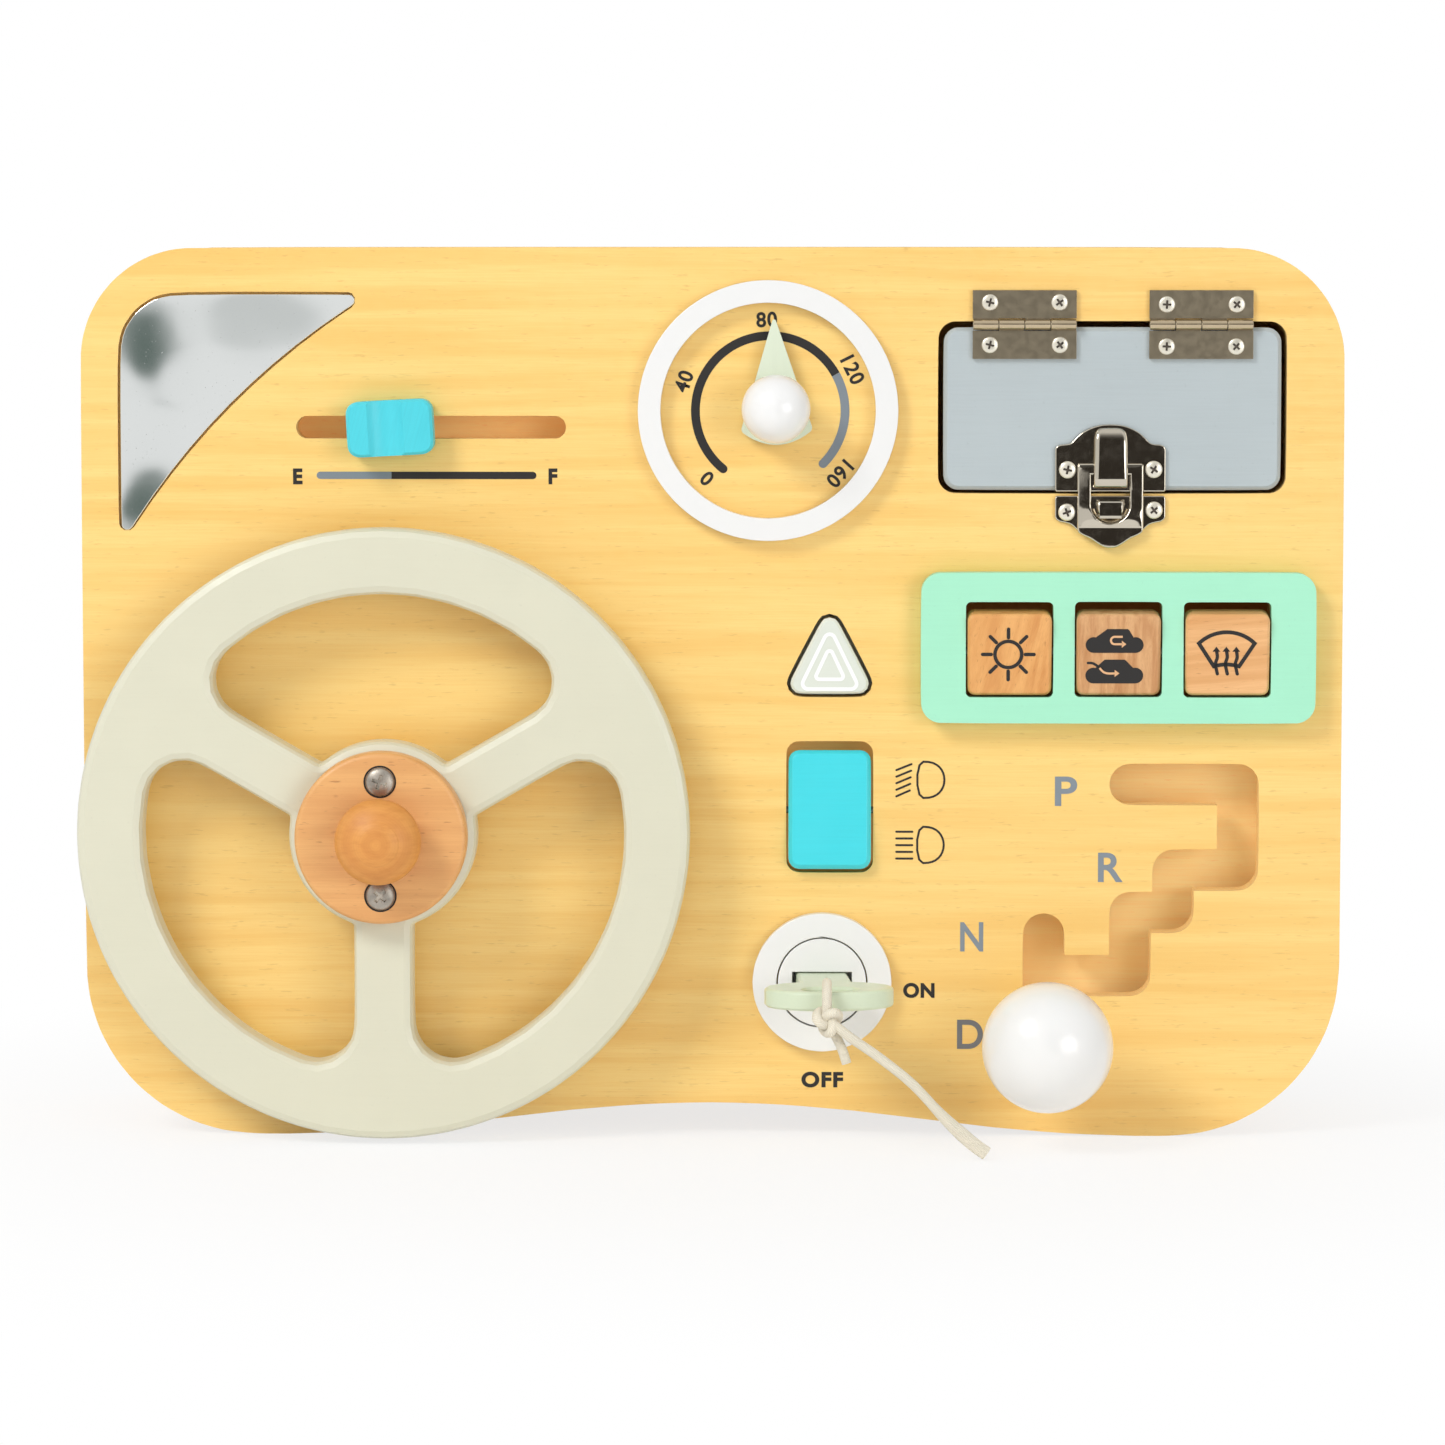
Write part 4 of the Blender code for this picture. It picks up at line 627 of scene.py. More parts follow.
@dataclass(frozen=True)
class TurnedWood(Finish):
    """End grain of a turned knob: faint growth rings round the axis and lathe lines."""

    deep: Colour = WHITE
    centre: Flat = (0.0, 0.0)
    streaks: Patches = Patches(60, 4, 0.4, 0.7)

    def dress(self, wiring: Wiring) -> None:
        """Wires the rings, the streaks and the lathe lines.

        Args:
            wiring: The material's nodes.
        """

        def rings(scale: float, distortion: float) -> Socket:
            """Rings round the axis.

            Args:
                scale: How close they are.
                distortion: How uneven they are.

            Returns:
                The rings' value.
            """
            wave = wiring.add("ShaderNodeTexWave", wave_type="RINGS", rings_direction="Y",
                              wave_profile="SIN")
            move = tuple(-scale * part for part in at(*self.centre))
            wiring.feed(wave.inputs["Vector"], wiring.place((scale,) * 3, move=move))
            settings = {"Scale": 1.0, "Distortion": distortion, "Detail": 3.0, "Detail Scale": 1.4}
            for name, value in settings.items():
                wave.inputs[name].default_value = value
            return wave.outputs[1]

        fine = rings(420.0, 0.6)
        streaks = Effects.mask(wiring, wiring.place((4.3, 1, 15)), self.streaks, 0.35)
        colour = wiring.mix(wiring.ramp(rings(55.0, 1.6), 0.2, 0.9, 0.0, 0.3), self.colour, self.deep)
        colour = wiring.mix(streaks, colour, self.deep)
        colour = wiring.mix(wiring.ramp(fine, 0.3, 0.9, 0.0, 0.08), colour, self.deep)
        wiring.shade({"Base Color": colour, "Normal": wiring.bump(fine, 0.00002, 0.25)})


@dataclass(frozen=True)
class Silvering(Finish):
    """Silvered acrylic: a slightly wavy reflector with fine specks of dust."""

    dust: Patches = Patches(1500, 2, 0.68, 0.74)

    def dress(self, wiring: Wiring) -> None:
        """Wires the dust and the waves.

        Args:
            wiring: The material's nodes.
        """
        dust = Effects.mask(wiring, wiring.place(), self.dust)
        waves = wiring.noise(wiring.place((1, 1, 1.3), move=(0.35, 0, 0.2)), 30.0, 1.5, 0.4)
        wiring.shade({"Base Color": wiring.mix(dust, self.colour, srgb(196, 200, 196)),
                      "Roughness": wiring.ramp(dust, 0.2, 0.9, self.roughness, 0.45),
                      "Normal": wiring.bump(waves, 0.00004)})


@dataclass(frozen=True)
class WaxedCotton(Finish):
    """Waxed cotton: fine twisted yarns wound round the cord, read from its own UV map, with painted shade in
    the grooves between them.
    """

    painted_groove_shade: Colour = WHITE
    fuzz: Patches = Patches(2600, 3, 0.4, 0.75)

    def dress(self, wiring: Wiring) -> None:
        """Wires the twist, with painted shade in its grooves, and the fuzz.

        Args:
            wiring: The material's nodes.
        """
        twist = wiring.add("ShaderNodeTexWave", wave_type="BANDS", bands_direction="DIAGONAL")
        wiring.feed(twist.inputs["Vector"], wiring.place(source="UV"))
        twist.inputs["Scale"].default_value = 0.9
        twist.inputs["Distortion"].default_value = 0.8
        fuzz = Effects.mask(wiring, wiring.place(), self.fuzz)
        # Painted shade: the colour goes towards the groove colour where the twist's bump is low.
        colour = wiring.mix(wiring.ramp(twist.outputs[1], 0.0, 0.55, 0.35, 0.0), self.colour, self.painted_groove_shade)
        colour = wiring.mix(wiring.maths("MULTIPLY", fuzz, 0.25), colour, toned(self.colour, 0.85))
        lay = wiring.bump(twist.outputs[1], 0.00022, 0.8)
        wiring.shade({"Base Color": colour, "Normal": wiring.bump(fuzz, 0.00005, 0.5, lay),
                      "Sheen Weight": 0.25})


HUB_AT: Flat = (-0.0955, 0.0910)
BIRCH_DEEP = srgb(242, 188, 90)

BIRCH = Veneer("birch_veneer", srgb(253, 215, 128), 0.42, "birch", deep=BIRCH_DEEP, bands=0.68,
               flecks=0.34, specular=0.9)
BIRCH_UPRIGHT = Veneer("birch_upright", srgb(254, 217, 138), 0.52, "birch", deep=BIRCH_DEEP, run=Run.UPRIGHT)
BIRCH_BACK = Veneer("birch_back", srgb(250, 212, 138), 0.58, "birch", deep=BIRCH_DEEP, bands=0.7,
                    shift=(3, 1, 2))
BIRCH_EDGE = CutPly("birch_edge", srgb(254, 226, 162), 0.7, deep=srgb(230, 182, 108))
BIRCH_INSIDE = Veneer("birch_inside", srgb(250, 204, 126), 0.62, deep=srgb(230, 168, 90), shift=(1, 5, 2))
# The slot and gate floors glow: painted light that lifts them out of the shade of their deep slots.
SLOT_FLOOR = Veneer("birch_slot_floor", srgb(255, 214, 140), 0.6, deep=srgb(248, 184, 108),
                    shift=(2, 3, 7), glow=0.11)
GATE_FLOOR = Veneer("birch_gate_floor", srgb(255, 226, 156), 0.6, deep=srgb(252, 196, 116),
                    shift=(2, 4, 6), glow=0.07)
BEECH = Veneer("beech", srgb(236, 180, 114), 0.42, "beech", deep=srgb(210, 143, 84), flecks=0.7,
               shift=(0.7, 0.2, 0.4))
BEECH_WARM = Veneer("beech_warm", srgb(238, 178, 108), 0.5, "beech", deep=srgb(204, 130, 62),
                    run=Run.STEEP, bands=0.8, flecks=0.6, spacing=1.5, shift=(4, 0.2, 3))
BEECH_STRIPED = Veneer("beech_striped", srgb(226, 176, 124), 0.5, "beech", deep=srgb(190, 130, 78),
                       run=Run.UPRIGHT, bands=1.0, flecks=0.5, spacing=2.4, shift=(6, 0.2, 5))
BEECH_PALE = Veneer("beech_pale", srgb(243, 190, 132), 0.5, "beech", deep=srgb(214, 150, 86),
                    run=Run.SAGGING, bands=0.8, flecks=0.6, spacing=1.4, shift=(8, 0.2, 7))
KNOB_WOOD = TurnedWood("beech_turned", srgb(225, 155, 78), 0.5, "beech", deep=srgb(200, 124, 56),
                       centre=HUB_AT)
SAGE = Paint("sage_coat", srgb(218, 216, 194), 0.42, "sage_paint", grain=0.08, coat=0.06)
WHITE_COAT = Paint("white_coat", srgb(238, 238, 237), 0.3, "white_paint", grain=0.02, coat=0.25,
                   clouding=0.05, speckle=0.04)
BALL_COAT = Paint("white_ball_coat", srgb(240, 240, 239), 0.24, "white_paint", grain=0.0, coat=0.4,
                  clouding=0.03, speckle=0.02)
NEEDLE_COAT = Paint("needle_coat", srgb(220, 230, 207), 0.45, "needle_paint", run=Run.UPRIGHT, grain=0.12)
TURQUOISE = Paint("turquoise_coat", srgb(76, 210, 224), 0.44, "turquoise_paint", run=Run.STEEP, grain=0.35)
TURQUOISE_ROCKER = Paint("turquoise_rocker_coat", srgb(64, 217, 230), 0.4, "turquoise_paint", grain=0.2,
                         coat=0.1)
MINT = Paint("mint_coat", srgb(168, 236, 203), 0.44, "mint_paint", grain=0.15)
PALE_GREY = Paint("pale_grey_coat", srgb(222, 227, 216), 0.44, "pale_grey_paint", grain=0.08)
BLUE_GREY = Paint("blue_grey_coat", srgb(181, 191, 194), 0.52, "blue_grey_paint", grain=0.25, wear=0.2)
KEY_GREEN = Paint("key_green_coat", srgb(214, 226, 198), 0.34, "key_green_paint", grain=0.12, coat=0.2)
NICKEL = Plating("dark_nickel", srgb(152, 141, 120), 0.38, "nickel", 1.0, worn=0.12, dull=0.7)
# Paler, glossier copy of the dark nickel on hinge barrels and edges and the latch's inner rim: painted
# highlight where curves catch the light, beside the darker flats.
BARREL_HIGHLIGHT_NICKEL = Plating("barrel_nickel_painted_highlight", srgb(204, 186, 156), 0.16, "nickel", 1.0, worn=0.15)
POLISHED = Plating("polished_nickel", srgb(206, 198, 182), 0.09, "nickel", 1.0, worn=0.06)
BRIGHT = Plating("bright_screw", srgb(236, 230, 214), 0.34, "nickel", 0.72, worn=0.2, dull=0.75)
GREY_STEEL = Plating("grey_screw", srgb(184, 176, 164), 0.42, "steel", 0.8, worn=0.7, dull=0.45)
WORN_CROSS = Plating("worn_recess", srgb(226, 218, 204), 0.4, None, 0.8, worn=0.9, dull=0.4)
# Dark ink in a screw's cross recess: painted shade, the recess darker than the head only because it lies in
# shade.
CROSS_PAINTED_SHADE = Ink("screw_recess_painted_shade", srgb(92, 82, 72), 0.6)
BLACK_INK = Ink("black_ink", srgb(30, 27, 26), 0.6)
GREY_INK = Ink("grey_ink", srgb(124, 134, 143), 0.6)
LETTER_INK = Ink("letter_ink", srgb(130, 140, 150), 0.6)
DARK_LETTER_INK = Ink("dark_letter_ink", srgb(116, 118, 122), 0.6)
WHITE_INK = Ink("white_ink", srgb(250, 251, 250), 0.5)
BARE_WOOD = Ink("bare_wood_line", srgb(230, 180, 134), 0.6)
# A near-black ring round each hub screw's head: painted shade where the head sits on the disc.
SEAT_PAINTED_SHADE = Ink("seat_shade_painted", srgb(26, 22, 20), 0.75)
MIRROR = Silvering("mirror_silver", srgb(240, 243, 242), 0.03, None, 1.0)
COTTON = WaxedCotton("waxed_cotton", srgb(250, 243, 224), 0.62, "cotton", painted_groove_shade=srgb(222, 205, 168))


# Modelling


def only(made: Piece) -> None:
    """Leaves one object selected and active, in object mode.

    Args:
        made: The object.
    """
    if bpy.context.view_layer.objects.active and bpy.context.mode != "OBJECT":
        bpy.ops.object.mode_set(mode="OBJECT")
    bpy.ops.object.select_all(action="DESELECT")
    made.select_set(True)
    bpy.context.view_layer.objects.active = made


@contextmanager
def editing(made: Piece, select: str = "VERT", everything: bool = False) -> Iterator[None]:
    """Opens an object in edit mode with nothing or everything selected, and closes it again.

    Args:
        made: The object.
        select: What is selected: VERT, EDGE or FACE.
        everything: Whether all of it is selected at the start.

    Yields:
        Nothing; the work is done by operators.
    """
    only(made)
    bpy.ops.object.mode_set(mode="EDIT")
    bpy.ops.mesh.select_mode(type=select)
    bpy.ops.mesh.select_all(action="SELECT" if everything else "DESELECT")
    yield
    bpy.ops.object.mode_set(mode="OBJECT")


def pick_faces(made: Piece, wanted: Callable[[Vector, Vector], bool]) -> None:
    """Selects faces in edit mode.

    Args:
        made: The object.
        wanted: Takes a face's middle and normal and says whether it is selected.
    """
    shape = bmesh.from_edit_mesh(made.data)
    for face in shape.faces:
        face.select_set(wanted(face.calc_center_median(), face.normal))
    bmesh.update_edit_mesh(made.data)


def settle(made: Piece) -> None:
    """Puts an object's place into its mesh, so that it sits at the origin."""
    only(made)
    bpy.ops.object.transform_apply(location=True, rotation=True, scale=True)


def apply_all(made: Piece) -> None:
    """Applies an object's modifiers in their order.

    Args:
        made: The object.
    """
    only(made)
    for step in list(made.modifiers):
        bpy.ops.object.modifier_apply(modifier=step.name)


def drop(made: Piece) -> None:
    """Takes a helper out of the file."""
    bpy.data.objects.remove(made)


def finish_piece(made: Piece, name: str, look: Finish, body: str, smooth: float = 35.0,
                 replaced: str | None = None) -> Piece:
    """Names a shape, gives it its finish and lets it ride on a body.

    Args:
        made: The object, its place in its mesh.
        name: The piece's name.
        look: Its finish.
        body: The CAD body that it moves with.
        smooth: The angle up to which its faces shade as one, or 0 for flat shading.
        replaced: The CAD node that it stands for.

    Returns:
        The same object.
    """
    made.name = name
    made.data.name = name
    made.data.materials.clear()
    made.data.materials.append(look.material())
    if smooth:
        made.data.shade_smooth()
        made.data.set_sharp_from_angle(angle=math.radians(smooth))
    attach(made, body)
    if replaced:
        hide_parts(replaced)
    log.info("%s rides on %s", name, body)
    return made


def placed(name: str, data: bpy.types.ID) -> Piece:
    """A mesh, curve, camera or lamp as an object of the scene.

    Args:
        name: The object's name.
        data: What it holds.

    Returns:
        The object.
    """
    made = bpy.data.objects.new(name, data)
    bpy.context.scene.collection.objects.link(made)
    return made


def dress(look: Finish, *nodes: str) -> None:
    """Gives CAD nodes that stay their finished material.

    Args:
        look: The finish.
        nodes: The nodes.
    """
    for node in nodes:
        NODES[node].data.materials.clear()
        NODES[node].data.materials.append(look.material())
        log.info("%s keeps its solid", node)


def round_walls(made: Piece, share: float = 30.0) -> None:
    """Rounds the shallow upright edges of a solid's curved walls, in edit mode.

    Args:
        made: The solid, its walls running along the board's w axis.
        share: How much of a wall's facet the rounding takes at either side, in percent.
    """
    shape = bmesh.from_edit_mesh(made.data)
    for edge in shape.edges:
        course = (edge.verts[1].co - edge.verts[0].co).normalized()
        shallow = len(edge.link_faces) == 2 and 3 < math.degrees(edge.calc_face_angle(0)) < 25
        edge.select_set(shallow and abs(course.y) > 0.995)
    bmesh.update_edit_mesh(made.data)
    bpy.ops.mesh.bevel(offset_type="PERCENT", offset_pct=share, segments=2, affect="EDGES")


def weigh(made: Piece) -> None:
    """Lets broad faces lead the shading, so that flat sheet stays flat beside its rounded edges."""
    even = made.modifiers.new("even", "WEIGHTED_NORMAL")
    even.keep_sharp = True


@dataclass(frozen=True)
class Rounding:
    """How a solid's edges are softened: how wide, over how many faces and from which angle."""

    width: float
    faces: int
    least_angle: float


def eased(node: str, look: Finish, edge: Rounding, sides: Finish | None = None) -> Piece:
    """A node's own shape with softly rounded edges, in the node's place.

    Args:
        node: The CAD node.
        look: The finish.
        edge: How its edges are rounded.
        sides: A finish for the faces that don't look to the front or the back.

    Returns:
        The piece.
    """
    made = placed(node + "_finish", NODES[node].data.copy())
    with editing(made, everything=True):
        bpy.ops.mesh.remove_doubles(threshold=WELD)
        bpy.ops.mesh.dissolve_limited(angle_limit=math.radians(1))
        bpy.ops.mesh.select_mode(type="EDGE")
        bpy.ops.mesh.select_all(action="DESELECT")
        round_walls(made)
        bpy.ops.mesh.select_all(action="DESELECT")
        bpy.ops.mesh.edges_select_sharp(sharpness=math.radians(edge.least_angle))
        bpy.ops.mesh.bevel(offset=edge.width, offset_type="OFFSET", segments=edge.faces, affect="EDGES",
                           clamp_overlap=True)
    finish_piece(made, node + "_finish", look, BODY_OF[node], 50, replaced=node)
    weigh(made)
    if sides:
        made.data.materials.append(sides.material())
        for face in made.data.polygons:
            face.material_index = int(abs(face.normal.y) < 0.6)
    return made


def turned(profile: Line, centre: Flat, steps: int = 64) -> Piece:
    """A shape turned about an axis along w: a disc, drawn out ring by ring.

    Args:
        profile: (radius, w) from the back to the front, each radius above 0.
        centre: Where the axis stands, in (u, v).
        steps: How many sides the turning has.

    Returns:
        The object, its place in its mesh.
    """
    radius, w = profile[0]
    middle = at(*centre, w)
    bpy.ops.mesh.primitive_circle_add(vertices=steps, radius=radius, fill_type="NGON", location=middle,
                                      rotation=FACING)
    made = bpy.context.active_object
    settle(made)
    with editing(made, "FACE", everything=True):
        for next_radius, next_w in profile[1:]:
            bpy.ops.mesh.extrude_region_move(TRANSFORM_OT_translate={"value": (0, w - next_w, 0)})
            ratio = next_radius / radius
            bpy.ops.transform.resize(value=(ratio, 1, ratio), center_override=middle)
            radius, w = next_radius, next_w
        bpy.ops.mesh.select_all(action="SELECT")
        bpy.ops.mesh.normals_make_consistent(inside=False)
    return made


def ball(radius: float, flat: float, centre: Flat, middle_w: float, segments: int = 96) -> Piece:
    """A turned ball with a small flat foot.

    Args:
        radius: The ball's radius.
        flat: The foot's radius.
        centre: The ball's middle in (u, v).
        middle_w: The ball's middle in w.
        segments: How many sides it has.

    Returns:
        The object, its place in its mesh.
    """
    bpy.ops.mesh.primitive_uv_sphere_add(segments=segments, ring_count=segments // 2, radius=radius,
                                         location=at(*centre, middle_w), rotation=FACING)
    made = bpy.context.active_object
    settle(made)
    foot = at(*centre, middle_w - math.sqrt(radius ** 2 - flat ** 2))
    with editing(made, everything=True):
        bpy.ops.mesh.bisect(plane_co=foot, plane_no=(0, 1, 0), use_fill=True, clear_outer=True)
        bpy.ops.mesh.select_all(action="SELECT")
        bpy.ops.mesh.normals_make_consistent(inside=False)
    return made


def bow(centre: Flat, radius: float, start: float, end: float, steps: int) -> list[Flat]:
    """Points of an arc in its own plane.

    Args:
        centre: The arc's middle.
        radius: Its radius.
        start: The angle of its first point, anticlockwise from the right.
        end: The angle of its last point.
        steps: How many stretches it has.

    Returns:
        The points.
    """
    points = []
    for step in range(steps + 1):
        turn = math.radians(start + (end - start) * step / steps)
        points.append((centre[0] + radius * math.cos(turn), centre[1] + radius * math.sin(turn)))
    return points


def ring_line(centre: Flat, radius: float) -> list[Flat]:
    """Points round a whole circle."""
    return bow(centre, radius, 0, 352.5, 47)


def shifted(points: Line, u: float, v: float) -> list[Flat]:
    """Points moved by u and v."""
    return [(u + point[0], v + point[1]) for point in points]


def smooth_line(points: Sequence[Sequence[float]], steps: int) -> list[tuple[float, ...]]:
    """A smooth line through points of two or three parts.

    Args:
        points: The points.
        steps: How many stretches there are between two of them.

    Returns:
        The line's points, the first and the last of them as given.
    """
    knots = [Vector(point) for point in points]
    padded = [2 * knots[0] - knots[1], *knots, 2 * knots[-1] - knots[-2]]
    line = []
    for before, start, end, after in zip(padded, padded[1:], padded[2:], padded[3:]):
        for step in range(steps):
            share = step / steps
            bend = 2 * before - 5 * start + 4 * end - after
            twist = 3 * start - before - 3 * end + after
            line.append((2 * start + (end - before) * share + bend * share ** 2 + twist * share ** 3) / 2)
    return [tuple(point) for point in line + [knots[-1]]]


def plate(outline: Line, low: float, high: float, edge: float,
          holes: Sequence[Line] = (), segments: int = 4) -> Piece:
    """A pressed plate with rounded edges, from outlines in (u, v).

    Args:
        outline: The plate's closed outline.
        low: The w of its back.
        high: The w of its front.
        edge: How far its edges are rounded.
        holes: The closed outlines of its openings.
        segments: How many faces the rounding has.

    Returns:
        The object, its place in its mesh.
    """
    curve = bpy.data.curves.new("plate", "CURVE")
    curve.dimensions = "2D"
    curve.fill_mode = "BOTH"
    curve.extrude = (high - low) / 2 - edge
    curve.bevel_depth = edge
    curve.bevel_resolution = segments
    curve.offset = -edge
    for loop in (outline, *holes):
        spline = curve.splines.new("POLY")
        spline.points.add(len(loop) - 1)
        for point, (u, v) in zip(spline.points, loop):
            point.co = (u, v, 0, 1)
        spline.use_cyclic_u = True
    only(placed("plate", curve))
    bpy.ops.object.convert(target="MESH")
    made = bpy.context.active_object
    made.location = at(0, 0, (high + low) / 2)
    made.rotation_euler = FACING
    settle(made)
    with editing(made, everything=True):
        bpy.ops.mesh.remove_doubles(threshold=WELD / 5)
        bpy.ops.mesh.normals_make_consistent(inside=False)
    return made


def cut_levels(made: Piece, low_v: float, high_v: float, step: float) -> None:
    """Adds points along v, so that a plate can be bent.

    Args:
        made: The plate.
        low_v: The first level.
        high_v: Where the levels end.
        step: How far apart they are.
    """
    level = low_v
    while level < high_v:
        with editing(made, everything=True):
            bpy.ops.mesh.bisect(plane_co=(0, 0, level), plane_no=(0, 0, 1))
        level += step
    with editing(made, "FACE", everything=True):
        bpy.ops.mesh.quads_convert_to_tris()


def tube(route: Sequence[Point], sizes: Line, sides: int = 20, closed: bool = False) -> Piece:
    """A tube along board points, with a UV map that runs along it.

    Args:
        route: The points of its middle line.
        sizes: Its (across, thick) radii, one pair for all of it or one at each point.
        sides: How many sides it has.
        closed: Whether its end joins its start.

    Returns:
        The object, its place in its mesh.
    """
    points = [at(*point) for point in route]
    shape = bmesh.new()
    layer = shape.loops.layers.uv.new("UVMap")
    rings, run = [], [0.0]
    for first, second in zip(points, points[1:]):
        run.append(run[-1] + (second - first).length)
    side = None
    for index, point in enumerate(points):
        before = points[index - 1] if index or closed else point
        after = points[(index + 1) % len(points)] if index < len(points) - 1 or closed else point
        course = (after - before).normalized()
        if side is None:
            side = course.cross(Vector((0, -1, 0.15))).normalized()
        side = (side - side.dot(course) * course).normalized()
        rise = course.cross(side)
        across, thick = sizes[index % len(sizes)]
        rings.append([shape.verts.new(point + across * math.cos(turn) * side + thick * math.sin(turn) * rise)
                      for turn in (2 * math.pi * step / sides for step in range(sides))])
    pairs = list(zip(range(len(rings)), range(1, len(rings))))
    if closed:
        pairs.append((len(rings) - 1, 0))
    for first, second in pairs:
        for step in range(sides):
            after = (step + 1) % sides
            face = shape.faces.new([rings[first][step], rings[first][after], rings[second][after],
                                    rings[second][step]])
            near = run[first]
            far = run[second] if second else near + (points[0] - points[-1]).length
            corners = ((step, near), (step + 1, near), (step + 1, far), (step, far))
            for loop, (round_it, along) in zip(face.loops, corners):
                loop[layer].uv = (round_it / sides * YARNS_ROUND, along * YARNS_ALONG)
    if not closed:
        for ring in (rings[0], rings[-1]):
            shape.faces.new(ring)
    bmesh.ops.recalc_face_normals(shape, faces=shape.faces)
    mesh = bpy.data.meshes.new("tube")
    shape.to_mesh(mesh)
    shape.free()
    return placed("tube", mesh)


@dataclass(frozen=True)
class Screw:
    """A cross-recess screw head, modelled once and copied, each copy with its own mesh."""

    radius: float
    height: float
    dome: float
    look: Finish
    recess: float = 0.55
    # The finish of the cross recess; the default one paints the recess's shade.
    cross: Finish = CROSS_PAINTED_SHADE
    rim_share: float = 0.965
    arm_length: float = 1.24
    arm_width: float = 0.30
    arm_taper: float = 0.72
    cross_reach: float = 0.72
    dome_steps: int = 9

    def head(self) -> Piece:
        """The head at the origin, its seat at w 0.

        Returns:
            The object that screws are copied from.
        """
        rim, top = self.height * (1 - self.dome), self.radius * self.rim_share
        profile = [(self.radius, 0.0), (self.radius, rim * 0.75), (top, rim)]
        for step in range(1, self.dome_steps):
            turn = math.pi / 2 * step / self.dome_steps
            profile.append((top * math.cos(turn), rim + self.height * self.dome * math.sin(turn)))
        made = turned([(radius, w + FACE_Y) for radius, w in profile], (0.0, 0.0), 40)
        depth = self.height * self.recess
        for turn in (0.0, math.pi / 2):
            bpy.ops.mesh.primitive_cube_add(size=1, location=(0, -self.height, 0), rotation=(0, turn, 0))
            arm = bpy.context.active_object
            arm.scale = (self.radius * self.arm_length, 2 * depth, self.radius * self.arm_width)
            settle(arm)
            with editing(arm, "FACE"):
                pick_faces(arm, lambda middle, normal: normal.y > 0.9)
                bpy.ops.transform.resize(value=(self.arm_taper, 1, self.arm_taper),
                                         center_override=(0, 0, 0))
            only(made)
            cut = made.modifiers.new("cross", "BOOLEAN")
            cut.operation = "DIFFERENCE"
            cut.solver = "EXACT"
            cut.object = arm
            apply_all(made)
            drop(arm)
        return made

    def drive(self, head: Piece, name: str, place: Point, turn: float, body: str,
              replaced: str | None = None) -> None:
        """Puts a copy of the head at a place.

        Args:
            head: The head that is copied.
            name: The screw's name.
            place: Where its seat is, in board coordinates.
            turn: How far its cross is turned.
            body: The body that it holds to.
            replaced: The CAD node that it stands for.
        """
        mesh = head.data.copy()
        mesh.transform(Matrix.Translation(at(*place)) @ Matrix.Rotation(math.radians(turn), 4, "Y"))
        finish_piece(placed(name, mesh), name, self.look, body, 30, replaced=replaced)
        mesh.materials.append(self.cross.material())
        floor = at(0, 0, place[2] + self.height * (1.1 - self.recess)).y
        # The recess's walls and deep faces take the cross finish, which with the default one is painted
        # shade.
        for face in mesh.polygons:
            inside = (face.center - at(*place)).xz.length < self.radius * self.cross_reach
            face.material_index = int(inside and (face.center.y > floor or abs(face.normal.y) < 0.5))


# Printed marks


def stroke(points: Sequence[Sequence[float]], width: float, closed: bool = False,
           cap: bool = True) -> list[list[Flat]]:
    """The flat shapes of a drawn line: a mitred strip and a half disc at each open end.

    Args:
        points: The line's points.
        width: How wide it is.
        closed: Whether its end joins its start.
        cap: Whether an open end is round.

    Returns:
        The outlines of the shapes.
    """
    line = [Vector(point) for point in points]
    count = len(line)
    left, right = [], []
    for index, point in enumerate(line):
        before = line[index - 1] if index or closed else None
        after = line[(index + 1) % count] if index < count - 1 or closed else None
        sides = []
        for one, two in ((before, point), (point, after)):
            if one is not None and two is not None and (two - one).length > 1e-9:
                step = (two - one).normalized()
                sides.append(Vector((-step.y, step.x)))
        normal = sum(sides, Vector((0, 0))).normalized()
        reach = width / 2 / max(0.4, normal.dot(sides[0]))
        left.append(point + normal * reach)
        right.append(point - normal * reach)
    shapes = []
    for index in range(count if closed else count - 1):
        after = (index + 1) % count
        strip = (right[index], right[after], left[after], left[index])
        shapes.append([tuple(corner) for corner in strip])
    if cap and not closed:
        for end, corner in ((line[0], left[0]), (line[-1], right[-1])):
            start = math.degrees(math.atan2(corner.y - end.y, corner.x - end.x))
            shapes.append(bow(tuple(end), width / 2, start, start + 180, 10))
    return shapes


def marks(name: str, shapes: Sequence[Line], look: Finish, body: str = "case",
          place: Place = at, lift: float = INK_LIFT) -> None:
    """Ink on a face: flat shapes put where place says.

    Args:
        name: The piece's name.
        shapes: The outlines, in the face's own (u, v).
        look: The ink.
        body: The body that carries the face.
        place: Turns (u, v, lift) into a point.
        lift: How far the ink stands off the face.
    """
    points, faces = [], []
    for corners in shapes:
        faces.append(list(range(len(points), len(points) + len(corners))))
        points += [place(corner[0], corner[1], lift) for corner in corners]
    mesh = bpy.data.meshes.new(name)
    mesh.from_pydata(points, [], faces)
    mesh.validate()
    made = placed(name, mesh)
    with editing(made, "FACE"):
        pick_faces(made, lambda middle, normal: normal.y > 0)
        bpy.ops.mesh.flip_normals()
    finish_piece(made, name, look, body, 0)


